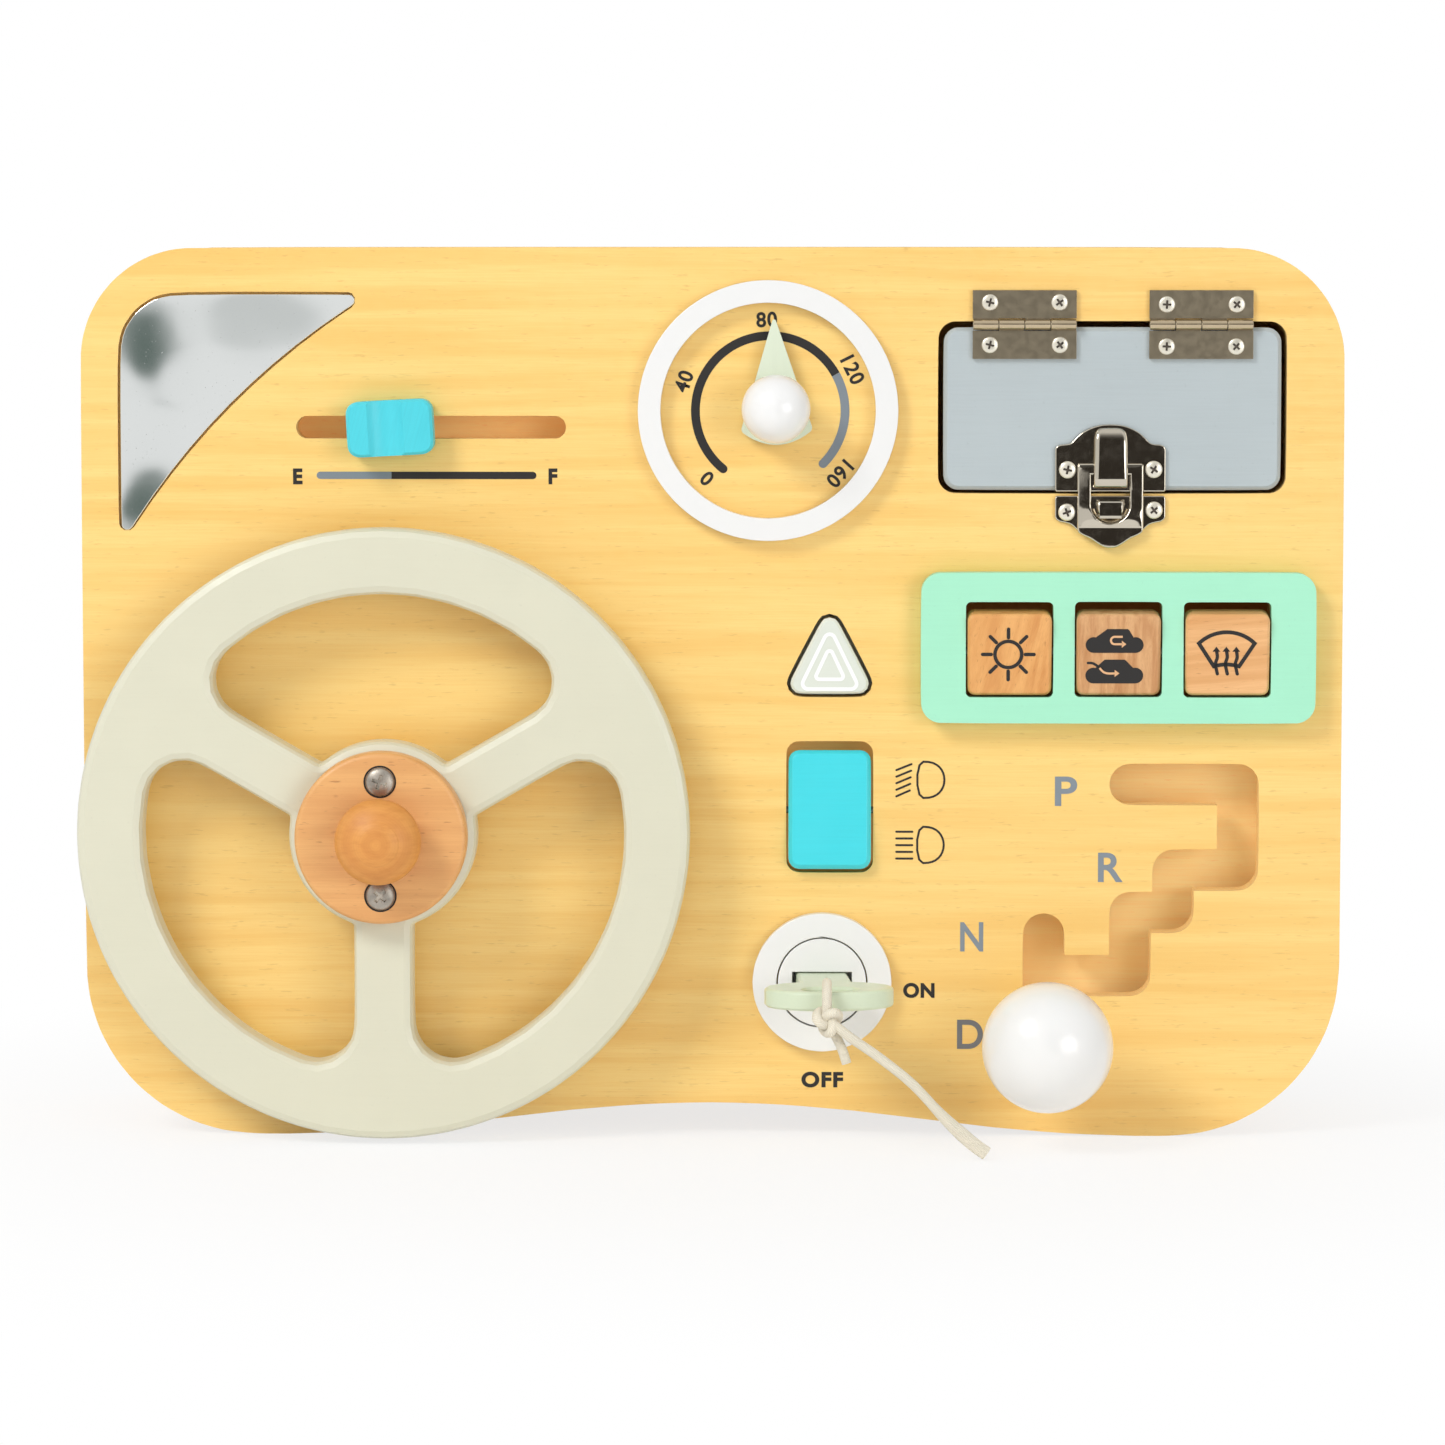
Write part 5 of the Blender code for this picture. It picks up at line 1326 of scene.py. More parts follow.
def words(name: str, text: str, centre: Flat, height: float, look: Finish, turn: float = 0.0,
          weight: float = 0.0, narrow: float = 1.0, spacing: float = 1.0) -> None:
    """A printed word on the front panel.

    Args:
        name: The piece's name.
        text: The letters or numbers.
        centre: The word's middle.
        height: How tall its capitals are.
        look: The ink.
        turn: How far it is turned clockwise.
        weight: How much bolder than the plain letters it is.
        narrow: Its width as a share of the plain letters' width.
        spacing: How far apart its letters are, as a share of the plain spacing.
    """
    bpy.ops.object.text_add()
    made = bpy.context.active_object
    made.data.body = text
    made.data.offset = weight
    made.data.space_character = spacing
    only(made)
    bpy.ops.object.convert(target="MESH")
    made = bpy.context.active_object
    across = [vertex.co.x for vertex in made.data.vertices]
    up = [vertex.co.y for vertex in made.data.vertices]
    size = height / (max(up) - min(up))
    middle = Matrix.Translation((-(min(across) + max(across)) / 2, -(min(up) + max(up)) / 2, 0))
    shape = Matrix.Diagonal((size * narrow, size, 1, 1)) @ middle
    stand = Matrix.Rotation(math.pi / 2, 4, "X") @ Matrix.Rotation(-math.radians(turn), 4, "Z")
    made.data.transform(Matrix.Translation(at(*centre, INK_LIFT)) @ stand @ shape)
    finish_piece(made, name, look, "case", 0)


# Sub-assemblies


@dataclass
class Case:
    """The two boards and the rails between them, and the mirror in its pocket."""

    board_edge: Rounding = Rounding(0.0009, 3, 30)
    rail_edge: Rounding = Rounding(0.0004, 2, 40)
    mirror_edge: Rounding = Rounding(0.0003, 2, 30)

    def build(self) -> None:
        """Builds the boards, the rails and the mirror."""
        eased("front_panel", BIRCH, self.board_edge, BIRCH_EDGE)
        eased("back_panel", BIRCH_BACK, self.board_edge, BIRCH_EDGE)
        for node in ("top_rail", "bottom_rail"):
            eased(node, BIRCH_BACK, self.rail_edge)
        for node in ("left_rail", "right_rail"):
            eased(node, BIRCH_UPRIGHT, self.rail_edge)
        eased("mirror", MIRROR, self.mirror_edge)


@dataclass
class FuelSlider:
    """The slider in its slot and the scale printed below it."""

    knob_edge: Rounding = Rounding(0.0006, 2, 22)
    bar_width: float = 0.00215
    bar_pixels: Point = (317.7, 392.4, 537.0)
    bar_row: float = 474.1
    end_steps: int = 12
    letter_height: float = 0.00465
    letter_weight: float = 0.045
    letter_width: float = 0.95
    letters: tuple[tuple[str, Flat], ...] = (("E", (298.8, 475.2)), ("F", (553.5, 475.0)))

    def build(self) -> None:
        """Builds the knob, the bar and its two letters."""
        dress(SLOT_FLOOR, "slider_track")
        dress(BIRCH_INSIDE, "slider_foot")
        eased("slider_knob", TURQUOISE, self.knob_edge)
        half = self.bar_width / 2
        start, change, end = (spot(x, self.bar_row) for x in self.bar_pixels)
        start, end = (start[0] + half, start[1]), (end[0] - half, end[1])
        for name, tip, turn, look in (("fuel_bar_grey", start, 90, GREY_INK),
                                      ("fuel_bar_black", end, -90, BLACK_INK)):
            strip = stroke(sorted((tip, change)), self.bar_width, cap=False)
            marks(name, [*strip, bow(tip, half, turn, turn + 180, self.end_steps)], look)
        for letter, pixel in self.letters:
            words("letter_" + letter.lower(), letter, spot(*pixel), self.letter_height, BLACK_INK,
                  weight=self.letter_weight, narrow=self.letter_width)


@dataclass
class SpeedDial:
    """The white ring, the needle with its ball, and the printed scale."""

    ring_edge: Rounding = Rounding(0.0009, 3, 40)
    needle_edge: Rounding = Rounding(0.00025, 2, 40)
    centre: Flat = (0.0172, 0.2141)
    arc_radius: float = 0.0219
    arc_width: float = 0.00255
    number_height: float = 0.0045
    number_weight: float = 0.026
    number_width: float = 0.98
    number_spacing: float = 1.1
    ball_radius: float = 0.010
    ball_foot: float = 0.0045
    ball_centre: Flat = (0.0190, 0.2150)
    numbers: tuple[tuple[str, Flat], ...] = (
        ("0", (707, 477)), ("40", (684, 380.5)), ("80", (766.4, 319)), ("120", (852, 369)),
        ("160", (839.4, 472.4)))
    change: float = 61
    ends: Flat = (-141, 135)

    def arc(self, name: str, start: float, end: float, steps: int, rounded_end: bool,
            look: Finish) -> None:
        """Prints a stretch of the scale.

        Args:
            name: The piece's name.
            start: Where it starts, clockwise from the top.
            end: Where it ends.
            steps: How many stretches it has.
            rounded_end: Whether its last end is round; if not, its first end is.
            look: Its ink.
        """
        line = bow(self.centre, self.arc_radius, 90 - start, 90 - end, steps)
        *strips, first, last = stroke(line, self.arc_width)
        marks(name, [*strips, last if rounded_end else first], look)

    def build(self) -> None:
        """Builds the ring, the needle and the ball, and prints the scale."""
        dress(GREY_STEEL, "dial_pin")
        eased("dial_ring", WHITE_COAT, self.ring_edge)
        eased("dial_needle", NEEDLE_COAT, self.needle_edge)
        self.arc("dial_arc_black", self.ends[0], self.change, 90, False, BLACK_INK)
        self.arc("dial_arc_grey", self.change, self.ends[1], 40, True, GREY_INK)
        for value, pixel in self.numbers:
            u, v = spot(*pixel)
            tilt = math.degrees(math.atan2(u - self.centre[0], v - self.centre[1]))
            words("dial_number_" + value, value, (u, v), self.number_height, BLACK_INK, tilt,
                  self.number_weight, self.number_width, self.number_spacing)
        made = ball(self.ball_radius, self.ball_foot, self.ball_centre,
                    front_of("dial_knob") - self.ball_radius)
        finish_piece(made, "dial_ball", BALL_COAT, "dial", replaced="dial_knob")


@dataclass
class SteeringWheel:
    """The three-spoke wheel with its hub disc, two screws and turned knob, with a ring of painted shade round
    each screw.
    """

    wheel_edge: Rounding = Rounding(0.0011, 3, 20)
    disc_radius: float = 0.0250
    disc_edge: float = 0.0016
    screw: Screw = Screw(0.0042, 0.0024, 0.6, GREY_STEEL, 0.5, WORN_CROSS)
    screw_sink: float = 0.0006
    # A thin dark ring round each screw's head, painted shade at its seat.
    shade_ring_radius: float = 0.0045
    shade_ring_line: float = 0.0005
    shade_ring_lift: float = 0.00003
    screw_turns: tuple[tuple[str, float], ...] = (("hub_screw_upper", 18), ("hub_screw_lower", 40))
    knob_curve: Line = (
        (0.0065, -0.0169), (0.0068, -0.0149), (0.0080, -0.0138), (0.0102, -0.0126), (0.0119, -0.0110),
        (0.0125, -0.0088), (0.0121, -0.0066), (0.0108, -0.0043), (0.0085, -0.0024), (0.0068, -0.0015),
        (0.0062, -0.0011), (0.0045, -0.0004), (0.0022, -0.0001), (0.0006, 0.0))

    def build(self) -> None:
        """Builds the wheel, the hub disc, the screws and the knob, and paints a ring of shade round each
        screw's seat.
        """
        dress(BEECH, "spindle_retainer", "steering_spindle")
        eased("steering_wheel", SAGE, self.wheel_edge)
        back, front = FACE_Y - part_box("hub_disc")[1].y, front_of("hub_disc")
        bpy.ops.mesh.primitive_cylinder_add(vertices=128, radius=self.disc_radius, depth=front - back,
                                            location=at(*HUB_AT, (front + back) / 2), rotation=FACING)
        disc = bpy.context.active_object
        settle(disc)
        with editing(disc, "FACE"):
            pick_faces(disc, lambda middle, normal: normal.y < -0.9)
            bpy.ops.mesh.region_to_loop()
            bpy.ops.mesh.bevel(offset=self.disc_edge, segments=6, affect="EDGES")
        finish_piece(disc, "hub_disc_turned", BEECH, "steering", replaced="hub_disc")
        head = self.screw.head()
        for node, turn in self.screw_turns:
            centre = middle_of(node)
            seat = ring_line(centre, self.shade_ring_radius)
            self.screw.drive(head, node + "_head", (*centre, front - self.screw_sink), turn, "steering", node)
            # A ring of painted shade round the screw's head, where it sits on the disc.
            marks(node + "_seat", stroke(seat, self.shade_ring_line, True), SEAT_PAINTED_SHADE, "steering",
                  lift=front + self.shade_ring_lift)
        drop(head)
        front = front_of("hub_knob")
        profile = [(radius, w + front) for radius, w in smooth_line(self.knob_curve, 4)]
        knob = turned(profile, HUB_AT, 96)
        finish_piece(knob, "hub_knob_turned", KNOB_WOOD, "steering", 60, replaced="hub_knob")


@dataclass
class HazardButton:
    """The triangular push button with two triangles printed on it."""

    button_edge: Rounding = Rounding(0.0006, 3, 22)
    centre: Flat = (0.0347, 0.1386)
    line: float = 0.00107
    triangles: tuple[tuple[str, float, float, float], ...] = (
        ("outer", 0.0178, 0.0182, 0.0016), ("inner", 0.0090, 0.0096, 0.0009))

    def triangle(self, width: float, height: float, radius: float, steps: int = 6) -> list[Flat]:
        """A triangle with rounded corners, point up.

        Args:
            width: Its width between sharp corners.
            height: Its height between sharp corners.
            radius: How round the corners are.
            steps: How many stretches a corner has.

        Returns:
            The outline.
        """
        u, v = self.centre
        foot = v - height / 3
        corners = [Vector((u - width / 2, foot)), Vector((u + width / 2, foot)),
                   Vector((u, v + 2 * height / 3))]
        outline = []
        for index, corner in enumerate(corners):
            before = (corners[index - 1] - corner).normalized()
            after = (corners[(index + 1) % 3] - corner).normalized()
            half = before.angle(after) / 2
            middle = corner + (before + after).normalized() * radius / math.sin(half)
            start = corner + before * radius / math.tan(half) - middle
            end = corner + after * radius / math.tan(half) - middle
            first, second = math.atan2(start.y, start.x), math.atan2(end.y, end.x)
            sweep = (second - first + math.pi) % (2 * math.pi) - math.pi
            for step in range(steps + 1):
                turn = first + sweep * step / steps
                outline.append((middle.x + radius * math.cos(turn), middle.y + radius * math.sin(turn)))
        return outline

    def build(self) -> None:
        """Builds the button and prints its triangles."""
        dress(BIRCH_INSIDE, "hazard_housing")
        dress(BRIGHT, "hazard_spring")
        eased("hazard_button", PALE_GREY, self.button_edge)
        for name, width, height, radius in self.triangles:
            shapes = stroke(self.triangle(width, height, radius), self.line, True)
            marks("hazard_triangle_" + name, shapes, WHITE_INK, "hazard",
                  lift=front_of("hazard_button") + INK_LIFT)


@dataclass
class HeadlightRocker:
    """The headlight rocker and the two lamp signs printed beside it."""

    line: float = 0.00062
    rocker_edge: Rounding = Rounding(0.0006, 2, 22)
    corner_share: float = 0.22
    bulge_steps: int = 16
    bulge_power: float = 0.8
    beam_count: int = 5
    lamps: tuple[tuple[str, tuple[float, ...], Flat, Flat, float], ...] = (
        ("dipped_beam_sign", (917.5, 944.5, 760.0, 796.5), (911.5, 762.5), (896.5, 768.5), 6.6),
        ("main_beam_sign", (917.5, 944.0, 825.5, 862.0), (896.5, 830.5), (912.5, 830.5), 6.75))
    dipped_lean: float = -0.4

    def lamp(self, left: float, right: float, top: float, bottom: float) -> list[Flat]:
        """A lamp's outline, flat on its left.

        Args:
            left: Its left edge, in pixels of the photograph, as the others are.
            right: Its right edge.
            top: Its top.
            bottom: Its bottom.

        Returns:
            The closed outline, in pixels.
        """
        corner = (right - left) * self.corner_share
        half = (bottom - top) / 2
        cuts = ((1.0, 0.0), (0.35, 0.6), (0.0, 2.2))
        outline = [(left + across * corner, top + down * corner) for across, down in cuts]
        outline += [(left + across * corner, bottom - up * corner) for across, up in reversed(cuts)]
        reach = right - left - corner
        for step in range(self.bulge_steps):
            turn = math.pi / 2 - math.pi * step / self.bulge_steps
            out = max(0.0, math.cos(turn)) ** self.bulge_power
            outline.append((left + corner + reach * out, top + half + half * math.sin(turn)))
        return outline

    def build(self) -> None:
        """Builds the rocker and prints the dipped and the main beam."""
        dress(SLOT_FLOOR, "headlight_tray")
        dress(GREY_STEEL, "headlight_pin")
        eased("headlight_rocker", TURQUOISE_ROCKER, self.rocker_edge)
        for name, edges, start, end, apart in self.lamps:
            shapes = stroke([spot(*point) for point in self.lamp(*edges)], self.line, True)
            lean = self.dipped_lean if start[0] > end[0] else 0.0
            for index in range(self.beam_count):
                shapes += stroke([spot(start[0] + lean * index, start[1] + apart * index),
                                  spot(end[0], end[1] + apart * index)], self.line)
            marks(name, shapes, BLACK_INK)


@dataclass
class SwitchBank:
    """Three wooden rockers in the mint frame, each with a printed sign."""

    frame_edge: Rounding = Rounding(0.0009, 3, 35)
    rocker_edge: Rounding = Rounding(0.0004, 2, 22)
    axle_v: float = 0.1437
    axle_w: float = 0.0018
    front: float = 0.0055
    tilt: float = math.radians(7)
    columns: Point = (0.0873, 0.1191, 0.1509)
    line: float = 0.00104
    sun_middle: Flat = (-0.0004, 0.0002)
    sun_ring: float = 0.0039
    sun_rays: Flat = (0.0050, 0.0075)
    ray_count: int = 8
    cars: tuple[tuple[float, float, float], ...] = ((0.0043, -0.0024, 0.0040), (-0.0048, -0.0030, 0.0032))
    cars_u: float = -0.0012
    car_foot: float = 0.0036
    car_height: float = 0.0071
    car_reach: float = 0.0061
    car_bulge: float = 0.00235
    roof_cut: tuple[Flat, Flat] = ((0.0003, -0.0004), (-0.0002, 0.0))
    inlet: Line = (
        (-0.0077, 0.0025), (-0.0063, 0.0024), (-0.0048, 0.0015), (-0.0036, 0.0008))
    inlet_line: float = 0.00075
    fresh_air: Line = (
        (-0.0043, 0.0010), (-0.0033, -0.0001), (-0.0020, -0.0006), (0.0002, -0.0006))
    fresh_tip: Flat = (0.0015, -0.0006)
    fresh_head: Flat = (0.0014, 0.00105)
    air_top: Line = ((0.0023, 0.0012), (0.0002, 0.0012))
    air_bend: tuple[Flat, float, float, float, int] = ((0.0, 0.0001), 0.0011, 95, 265, 10)
    air_foot: Line = ((0.0002, -0.0010), (0.0023, -0.0010))
    air_tip: Flat = (0.0034, -0.0010)
    air_head: Flat = (0.0013, 0.00105)
    air_line: float = 0.00062
    arrows_lift: float = 0.00004
    screen: tuple[tuple[float, ...], ...] = (
        (-0.0047, 0.0116, 134.5, 45.5, 18), (-0.0150, 0.0123, 72.5, 107.5, 8))
    screen_u: float = -0.0003
    warm_air: Line = (
        (0.0, 0.0012), (0.0002, -0.0006), (-0.0003, -0.0024), (0.0, -0.0043), (0.0003, -0.0055))
    warm_apart: float = 0.0029
    warm_line: float = 0.00098
    warm_tip: Flat = (-0.0001, 0.0026)
    warm_head: Flat = (0.0015, 0.00115)

    def on_rocker(self, u: float) -> Place:
        """How ink lies on a rocker's tilted face.

        Args:
            u: Where the rocker stands.

        Returns:
            A function that turns a place from the face's middle into a point.
        """
        cos, sin = math.cos(self.tilt), math.sin(self.tilt)

        def place(across: float, up: float, lift: float) -> Vector:
            """A point of the tilted face."""
            out = self.front + lift
            return at(u + across, self.axle_v + up * cos - out * sin, self.axle_w + up * sin + out * cos)

        return place

    def car(self, v: float, roof_start: float, roof_end: float) -> list[Flat]:
        """A car's outline from the side: a bulge at each end and a flat roof between slopes.

        Args:
            v: The middle of the car, up.
            roof_start: Where its roof starts, from its middle.
            roof_end: Where its roof ends.

        Returns:
            The outline.
        """
        u, low, bulge = self.cars_u, v - self.car_foot, self.car_bulge
        top = low + self.car_height
        left = bow((u - self.car_reach, low + bulge), bulge, 270, 75, 12)
        right = bow((u + self.car_reach, low + bulge), bulge, 105, -90, 12)
        roof = [(u + roof_start - out, top + up) for out, up in self.roof_cut]
        roof += [(u + roof_end + out, top + up) for out, up in reversed(self.roof_cut)]
        return left + roof + right

    def head(self, tip: Flat, course: Flat, size: Flat) -> list[Flat]:
        """The triangle at an arrow's tip.

        Args:
            tip: The arrow's tip.
            course: Which way it points.
            size: How long it is and half its width.

        Returns:
            The triangle.
        """
        ahead = Vector(course).normalized()
        across = Vector((-ahead.y, ahead.x)) * size[1]
        foot = Vector(tip) - ahead * size[0]
        return [tip, tuple(foot + across), tuple(foot - across)]

    def print_sun(self) -> None:
        """Prints a ring with rays."""
        u, v = self.sun_middle
        shapes = stroke(ring_line(self.sun_middle, self.sun_ring), self.line, True)
        for ray in range(self.ray_count):
            turn = 2 * math.pi * ray / self.ray_count
            ends = [(u + reach * math.cos(turn), v + reach * math.sin(turn)) for reach in self.sun_rays]
            shapes += stroke(ends, self.line)
        marks("sun_sign", shapes, BLACK_INK, "sun_switch", self.on_rocker(self.columns[0]))

    def print_cars(self) -> None:
        """Prints two cars, one with the air going round inside and one with air coming in."""
        place = self.on_rocker(self.columns[1])
        u, high, low = self.cars_u, self.cars[0][0], self.cars[1][0]
        inlet = smooth_line(shifted(self.inlet, u, low), 4)
        shapes = [self.car(*car) for car in self.cars] + stroke(inlet, self.inlet_line)
        marks("air_cars_sign", shapes, BLACK_INK, "air_switch", place)
        turn = [*self.air_top, *bow(*self.air_bend), *self.air_foot]
        arrows = stroke(shifted(turn, u, high), self.air_line, cap=False)
        arrows.append(self.head(*shifted([self.air_tip], u, high), (1, 0), self.air_head))
        inside = smooth_line(shifted(self.fresh_air, u, low), 4)
        arrows += stroke(inside, self.air_line, cap=False)
        arrows.append(self.head(*shifted([self.fresh_tip], u, low), (1, 0), self.fresh_head))
        marks("air_arrows_sign", arrows, BARE_WOOD, "air_switch", place, INK_LIFT + self.arrows_lift)

    def print_fan(self) -> None:
        """Prints a windscreen with three arrows of warm air."""
        rim = [point for v, radius, start, end, steps in self.screen
               for point in bow((self.screen_u, v), radius, start, end, int(steps))]
        shapes = stroke(rim, 1.1 * self.line, True)
        for across in (-self.warm_apart, 0.0, self.warm_apart):
            u = self.screen_u + across
            shapes += stroke(smooth_line(shifted(self.warm_air, u, 0.0), 4), self.warm_line)
            shapes.append(self.head(*shifted([self.warm_tip], u, 0.0), (0, 1), self.warm_head))
        marks("demist_sign", shapes, BLACK_INK, "demist_switch", self.on_rocker(self.columns[2]))

    def build(self) -> None:
        """Builds the frame and the rockers and prints their signs."""
        dress(GREY_STEEL, "rocker_axle")
        eased("switch_frame", MINT, self.frame_edge)
        for node, look in (("sun_rocker", BEECH_WARM), ("air_rocker", BEECH_STRIPED),
                           ("demist_rocker", BEECH_PALE)):
            eased(node, look, self.rocker_edge)
        self.print_sun()
        self.print_cars()
        self.print_fan()


@dataclass
class KeyLock:
    """The white lock ring with its rotor, the key and the two words."""

    ring_edge: Rounding = Rounding(0.0008, 3, 40)
    rotor_edge: Rounding = Rounding(0.0003, 2, 40)
    key_edge: Rounding = Rounding(0.0006, 3, 22)
    word_weight: float = 0.045
    printed: tuple[tuple[str, Flat, float, float, float], ...] = (
        ("ON", (919.6, 990.6), 0.0045, 1.0, 1.1), ("OFF", (822.8, 1081.2), 0.0047, 1.08, 1.14))

    def build(self) -> None:
        """Builds the ring, the rotor and the key, and prints ON and OFF."""
        dress(BIRCH_INSIDE, "rotor_retainer")
        eased("lock_ring", WHITE_COAT, self.ring_edge)
        eased("key_rotor", WHITE_COAT, self.rotor_edge)
        eased("key", KEY_GREEN, self.key_edge)
        for word, pixel, height, narrow, spacing in self.printed:
            words("word_" + word.lower(), word, spot(*pixel), height, BLACK_INK, weight=self.word_weight,
                  narrow=narrow, spacing=spacing)


@dataclass
class KeyCord:
    """The waxed cotton cord looped through the key, knotted, with a long and a short end."""

    radius: float = 0.0014
    route: tuple[Point, ...] = (
        (0.0350, 0.0411, 0.0518), (0.0372, 0.0395, 0.0525), (0.0410, 0.0366, 0.0532),
        (0.0490, 0.0310, 0.0530), (0.0585, 0.0232, 0.0518), (0.0676, 0.0132, 0.0497),
        (0.0755, 0.0056, 0.0470), (0.0800, 0.0021, 0.0456))
    short_route: tuple[Point, ...] = (
        (0.0350, 0.0396, 0.0503), (0.0380, 0.0338, 0.0498), (0.0397, 0.0288, 0.0497))
    loop_u: float = 0.0340
    loop_centre: Flat = (0.0462, 0.0460)
    loop_radius: float = 0.0056
    loop_turn: Flat = (-35, 300)
    knot_centre: Point = (0.0342, 0.0414, 0.0512)
    knot_cord: float = 0.00142
    knot_reach: Point = (0.00112, 0.00118, 0.00180)
    short_flatness: float = 0.8
    pressed_from: float = 0.66
    pressed_over: float = 0.14
    pressed_wider: float = 0.45
    pressed_thinner: float = 0.5

    def tail_sizes(self, count: int) -> list[Flat]:
        """The cord's radii along the tail, which is pressed flat towards its end.

        Args:
            count: How many points the tail has.

        Returns:
            (across, thick) at each point.
        """
        sizes = []
        for index in range(count):
            share = min(1.0, max(0.0, (index / (count - 1) - self.pressed_from) / self.pressed_over))
            sizes.append((self.radius * (1 + self.pressed_wider * share),
                          self.radius * (1 - self.pressed_thinner * share)))
        return sizes

    def knot_line(self, steps: int = 96) -> list[Point]:
        """The middle line of the tied knot, a closed trefoil.

        Args:
            steps: How many points it has.

        Returns:
            The points.
        """
        (u, v, w), (across, up, out) = self.knot_centre, self.knot_reach
        line = []
        for step in range(steps):
            turn = 2 * math.pi * step / steps
            line.append((u + across * (math.sin(turn) + 2 * math.sin(2 * turn)),
                         v + up * (math.cos(turn) - 2 * math.cos(2 * turn)), w - out * math.sin(3 * turn)))
        return line

    def build(self) -> None:
        line = smooth_line(self.route, 5)
        tail = finish_piece(tube(line, self.tail_sizes(len(line))), "key_cord_tail", COTTON, "cord_tails",
                            60, replaced="key_cord")
        short = tube(smooth_line(self.short_route, 6), [(self.radius, self.radius * self.short_flatness)])
        stub = finish_piece(short, "key_cord_short_end", COTTON, "cord_tails", 60, replaced="key_cord_stub")
        arc = bow(self.loop_centre, self.loop_radius, *self.loop_turn, 48)
        loop = tube([(self.loop_u, v, w) for w, v in arc], [(self.radius, self.radius)])
        finish_piece(loop, "key_cord_ring", COTTON, "key", 60, replaced="key_cord_loop")
        knot = tube(self.knot_line(), [(self.knot_cord, self.knot_cord)], 18, True)
        finish_piece(knot, "key_cord_tied_knot", COTTON, "key", 60, replaced="key_cord_knot")
        length = sum((Vector(second) - Vector(first)).length for first, second in zip(line, line[1:]))
        tuple(at(*line[0]))
        [tuple(at(*point)) for point in line]


@dataclass
class GearLever:
    """The white ball on its stick, the gate's floor and the four letters."""

    ball_radius: float = 0.019
    ball_foot: float = 0.0054
    letter_height: float = 0.0087
    letter_weight: float = 0.018
    letters: tuple[tuple[str, float, float, float, Finish], ...] = (
        ("P", 1066.1, 789.5, 1.16, LETTER_INK), ("R", 1110.9, 866.0, 1.04, LETTER_INK),
        ("N", 972.4, 936.3, 0.84, LETTER_INK), ("D", 971.0, 1034.9, 0.95, DARK_LETTER_INK))

    def build(self) -> None:
        """Builds the ball and prints the letters."""
        dress(BIRCH_INSIDE, "gear_foot", "gear_stick")
        dress(GATE_FLOOR, "gear_track")
        made = ball(self.ball_radius, self.ball_foot, middle_of("gear_ball"),
                    front_of("gear_ball") - self.ball_radius, 128)
        finish_piece(made, "gear_ball_turned", BALL_COAT, "gear", replaced="gear_ball")
        for letter, x, y, narrow, look in self.letters:
            words("gear_letter_" + letter.lower(), letter, spot(x, y), self.letter_height, look,
                  weight=self.letter_weight, narrow=narrow)


@dataclass
class GloveBox:
    """The hinged door over its box, and the two butt hinges with their screws."""

    door_edge: Rounding = Rounding(0.0007, 3, 22)
    leaf_edge: Rounding = Rounding(0.00016, 2, 30)
    leaf_front: float = 0.0013
    screw: Screw = Screw(0.0024, 0.0008, 0.6, BRIGHT, 0.7)
    seat: float = 0.00112
    first_turn: float = 14
    turn_apart: float = 39
    panel_screws: Line = ((988, 302), (1057, 302), (1163.3, 304), (1232.5, 304))
    door_screws: Line = ((988, 344), (1057.5, 344), (1163.3, 345.5), (1232.2, 345.5))

    def build(self) -> None:
        """Builds the door, the leaves and the screws."""
        dress(BIRCH_INSIDE, "glove_box")
        dress(NICKEL, "left_hinge_pin", "right_hinge_pin")
        eased("glove_door", BLUE_GREY, self.door_edge)
        barrel = at(0, 0, self.leaf_front).y
        for node in ("left_hinge_fixed_leaf", "left_hinge_door_leaf", "right_hinge_fixed_leaf",
                     "right_hinge_door_leaf"):
            made = eased(node, NICKEL, self.leaf_edge)
            # Barrels and edge faces take the paler nickel: painted highlight beside the darker flat leaves.
            made.data.materials.append(BARREL_HIGHLIGHT_NICKEL.material())
            for face in made.data.polygons:
                face.material_index = int(abs(face.normal.y) < 0.98 or face.center.y < barrel)
        head = self.screw.head()
        for row, body, places in (("panel", "case", self.panel_screws), ("door", "door", self.door_screws)):
            for index, pixel in enumerate(places):
                self.screw.drive(head, f"hinge_{row}_screw_{index + 1}", (*spot(*pixel), self.seat),
                                 self.first_turn + self.turn_apart * index, body)
        drop(head)


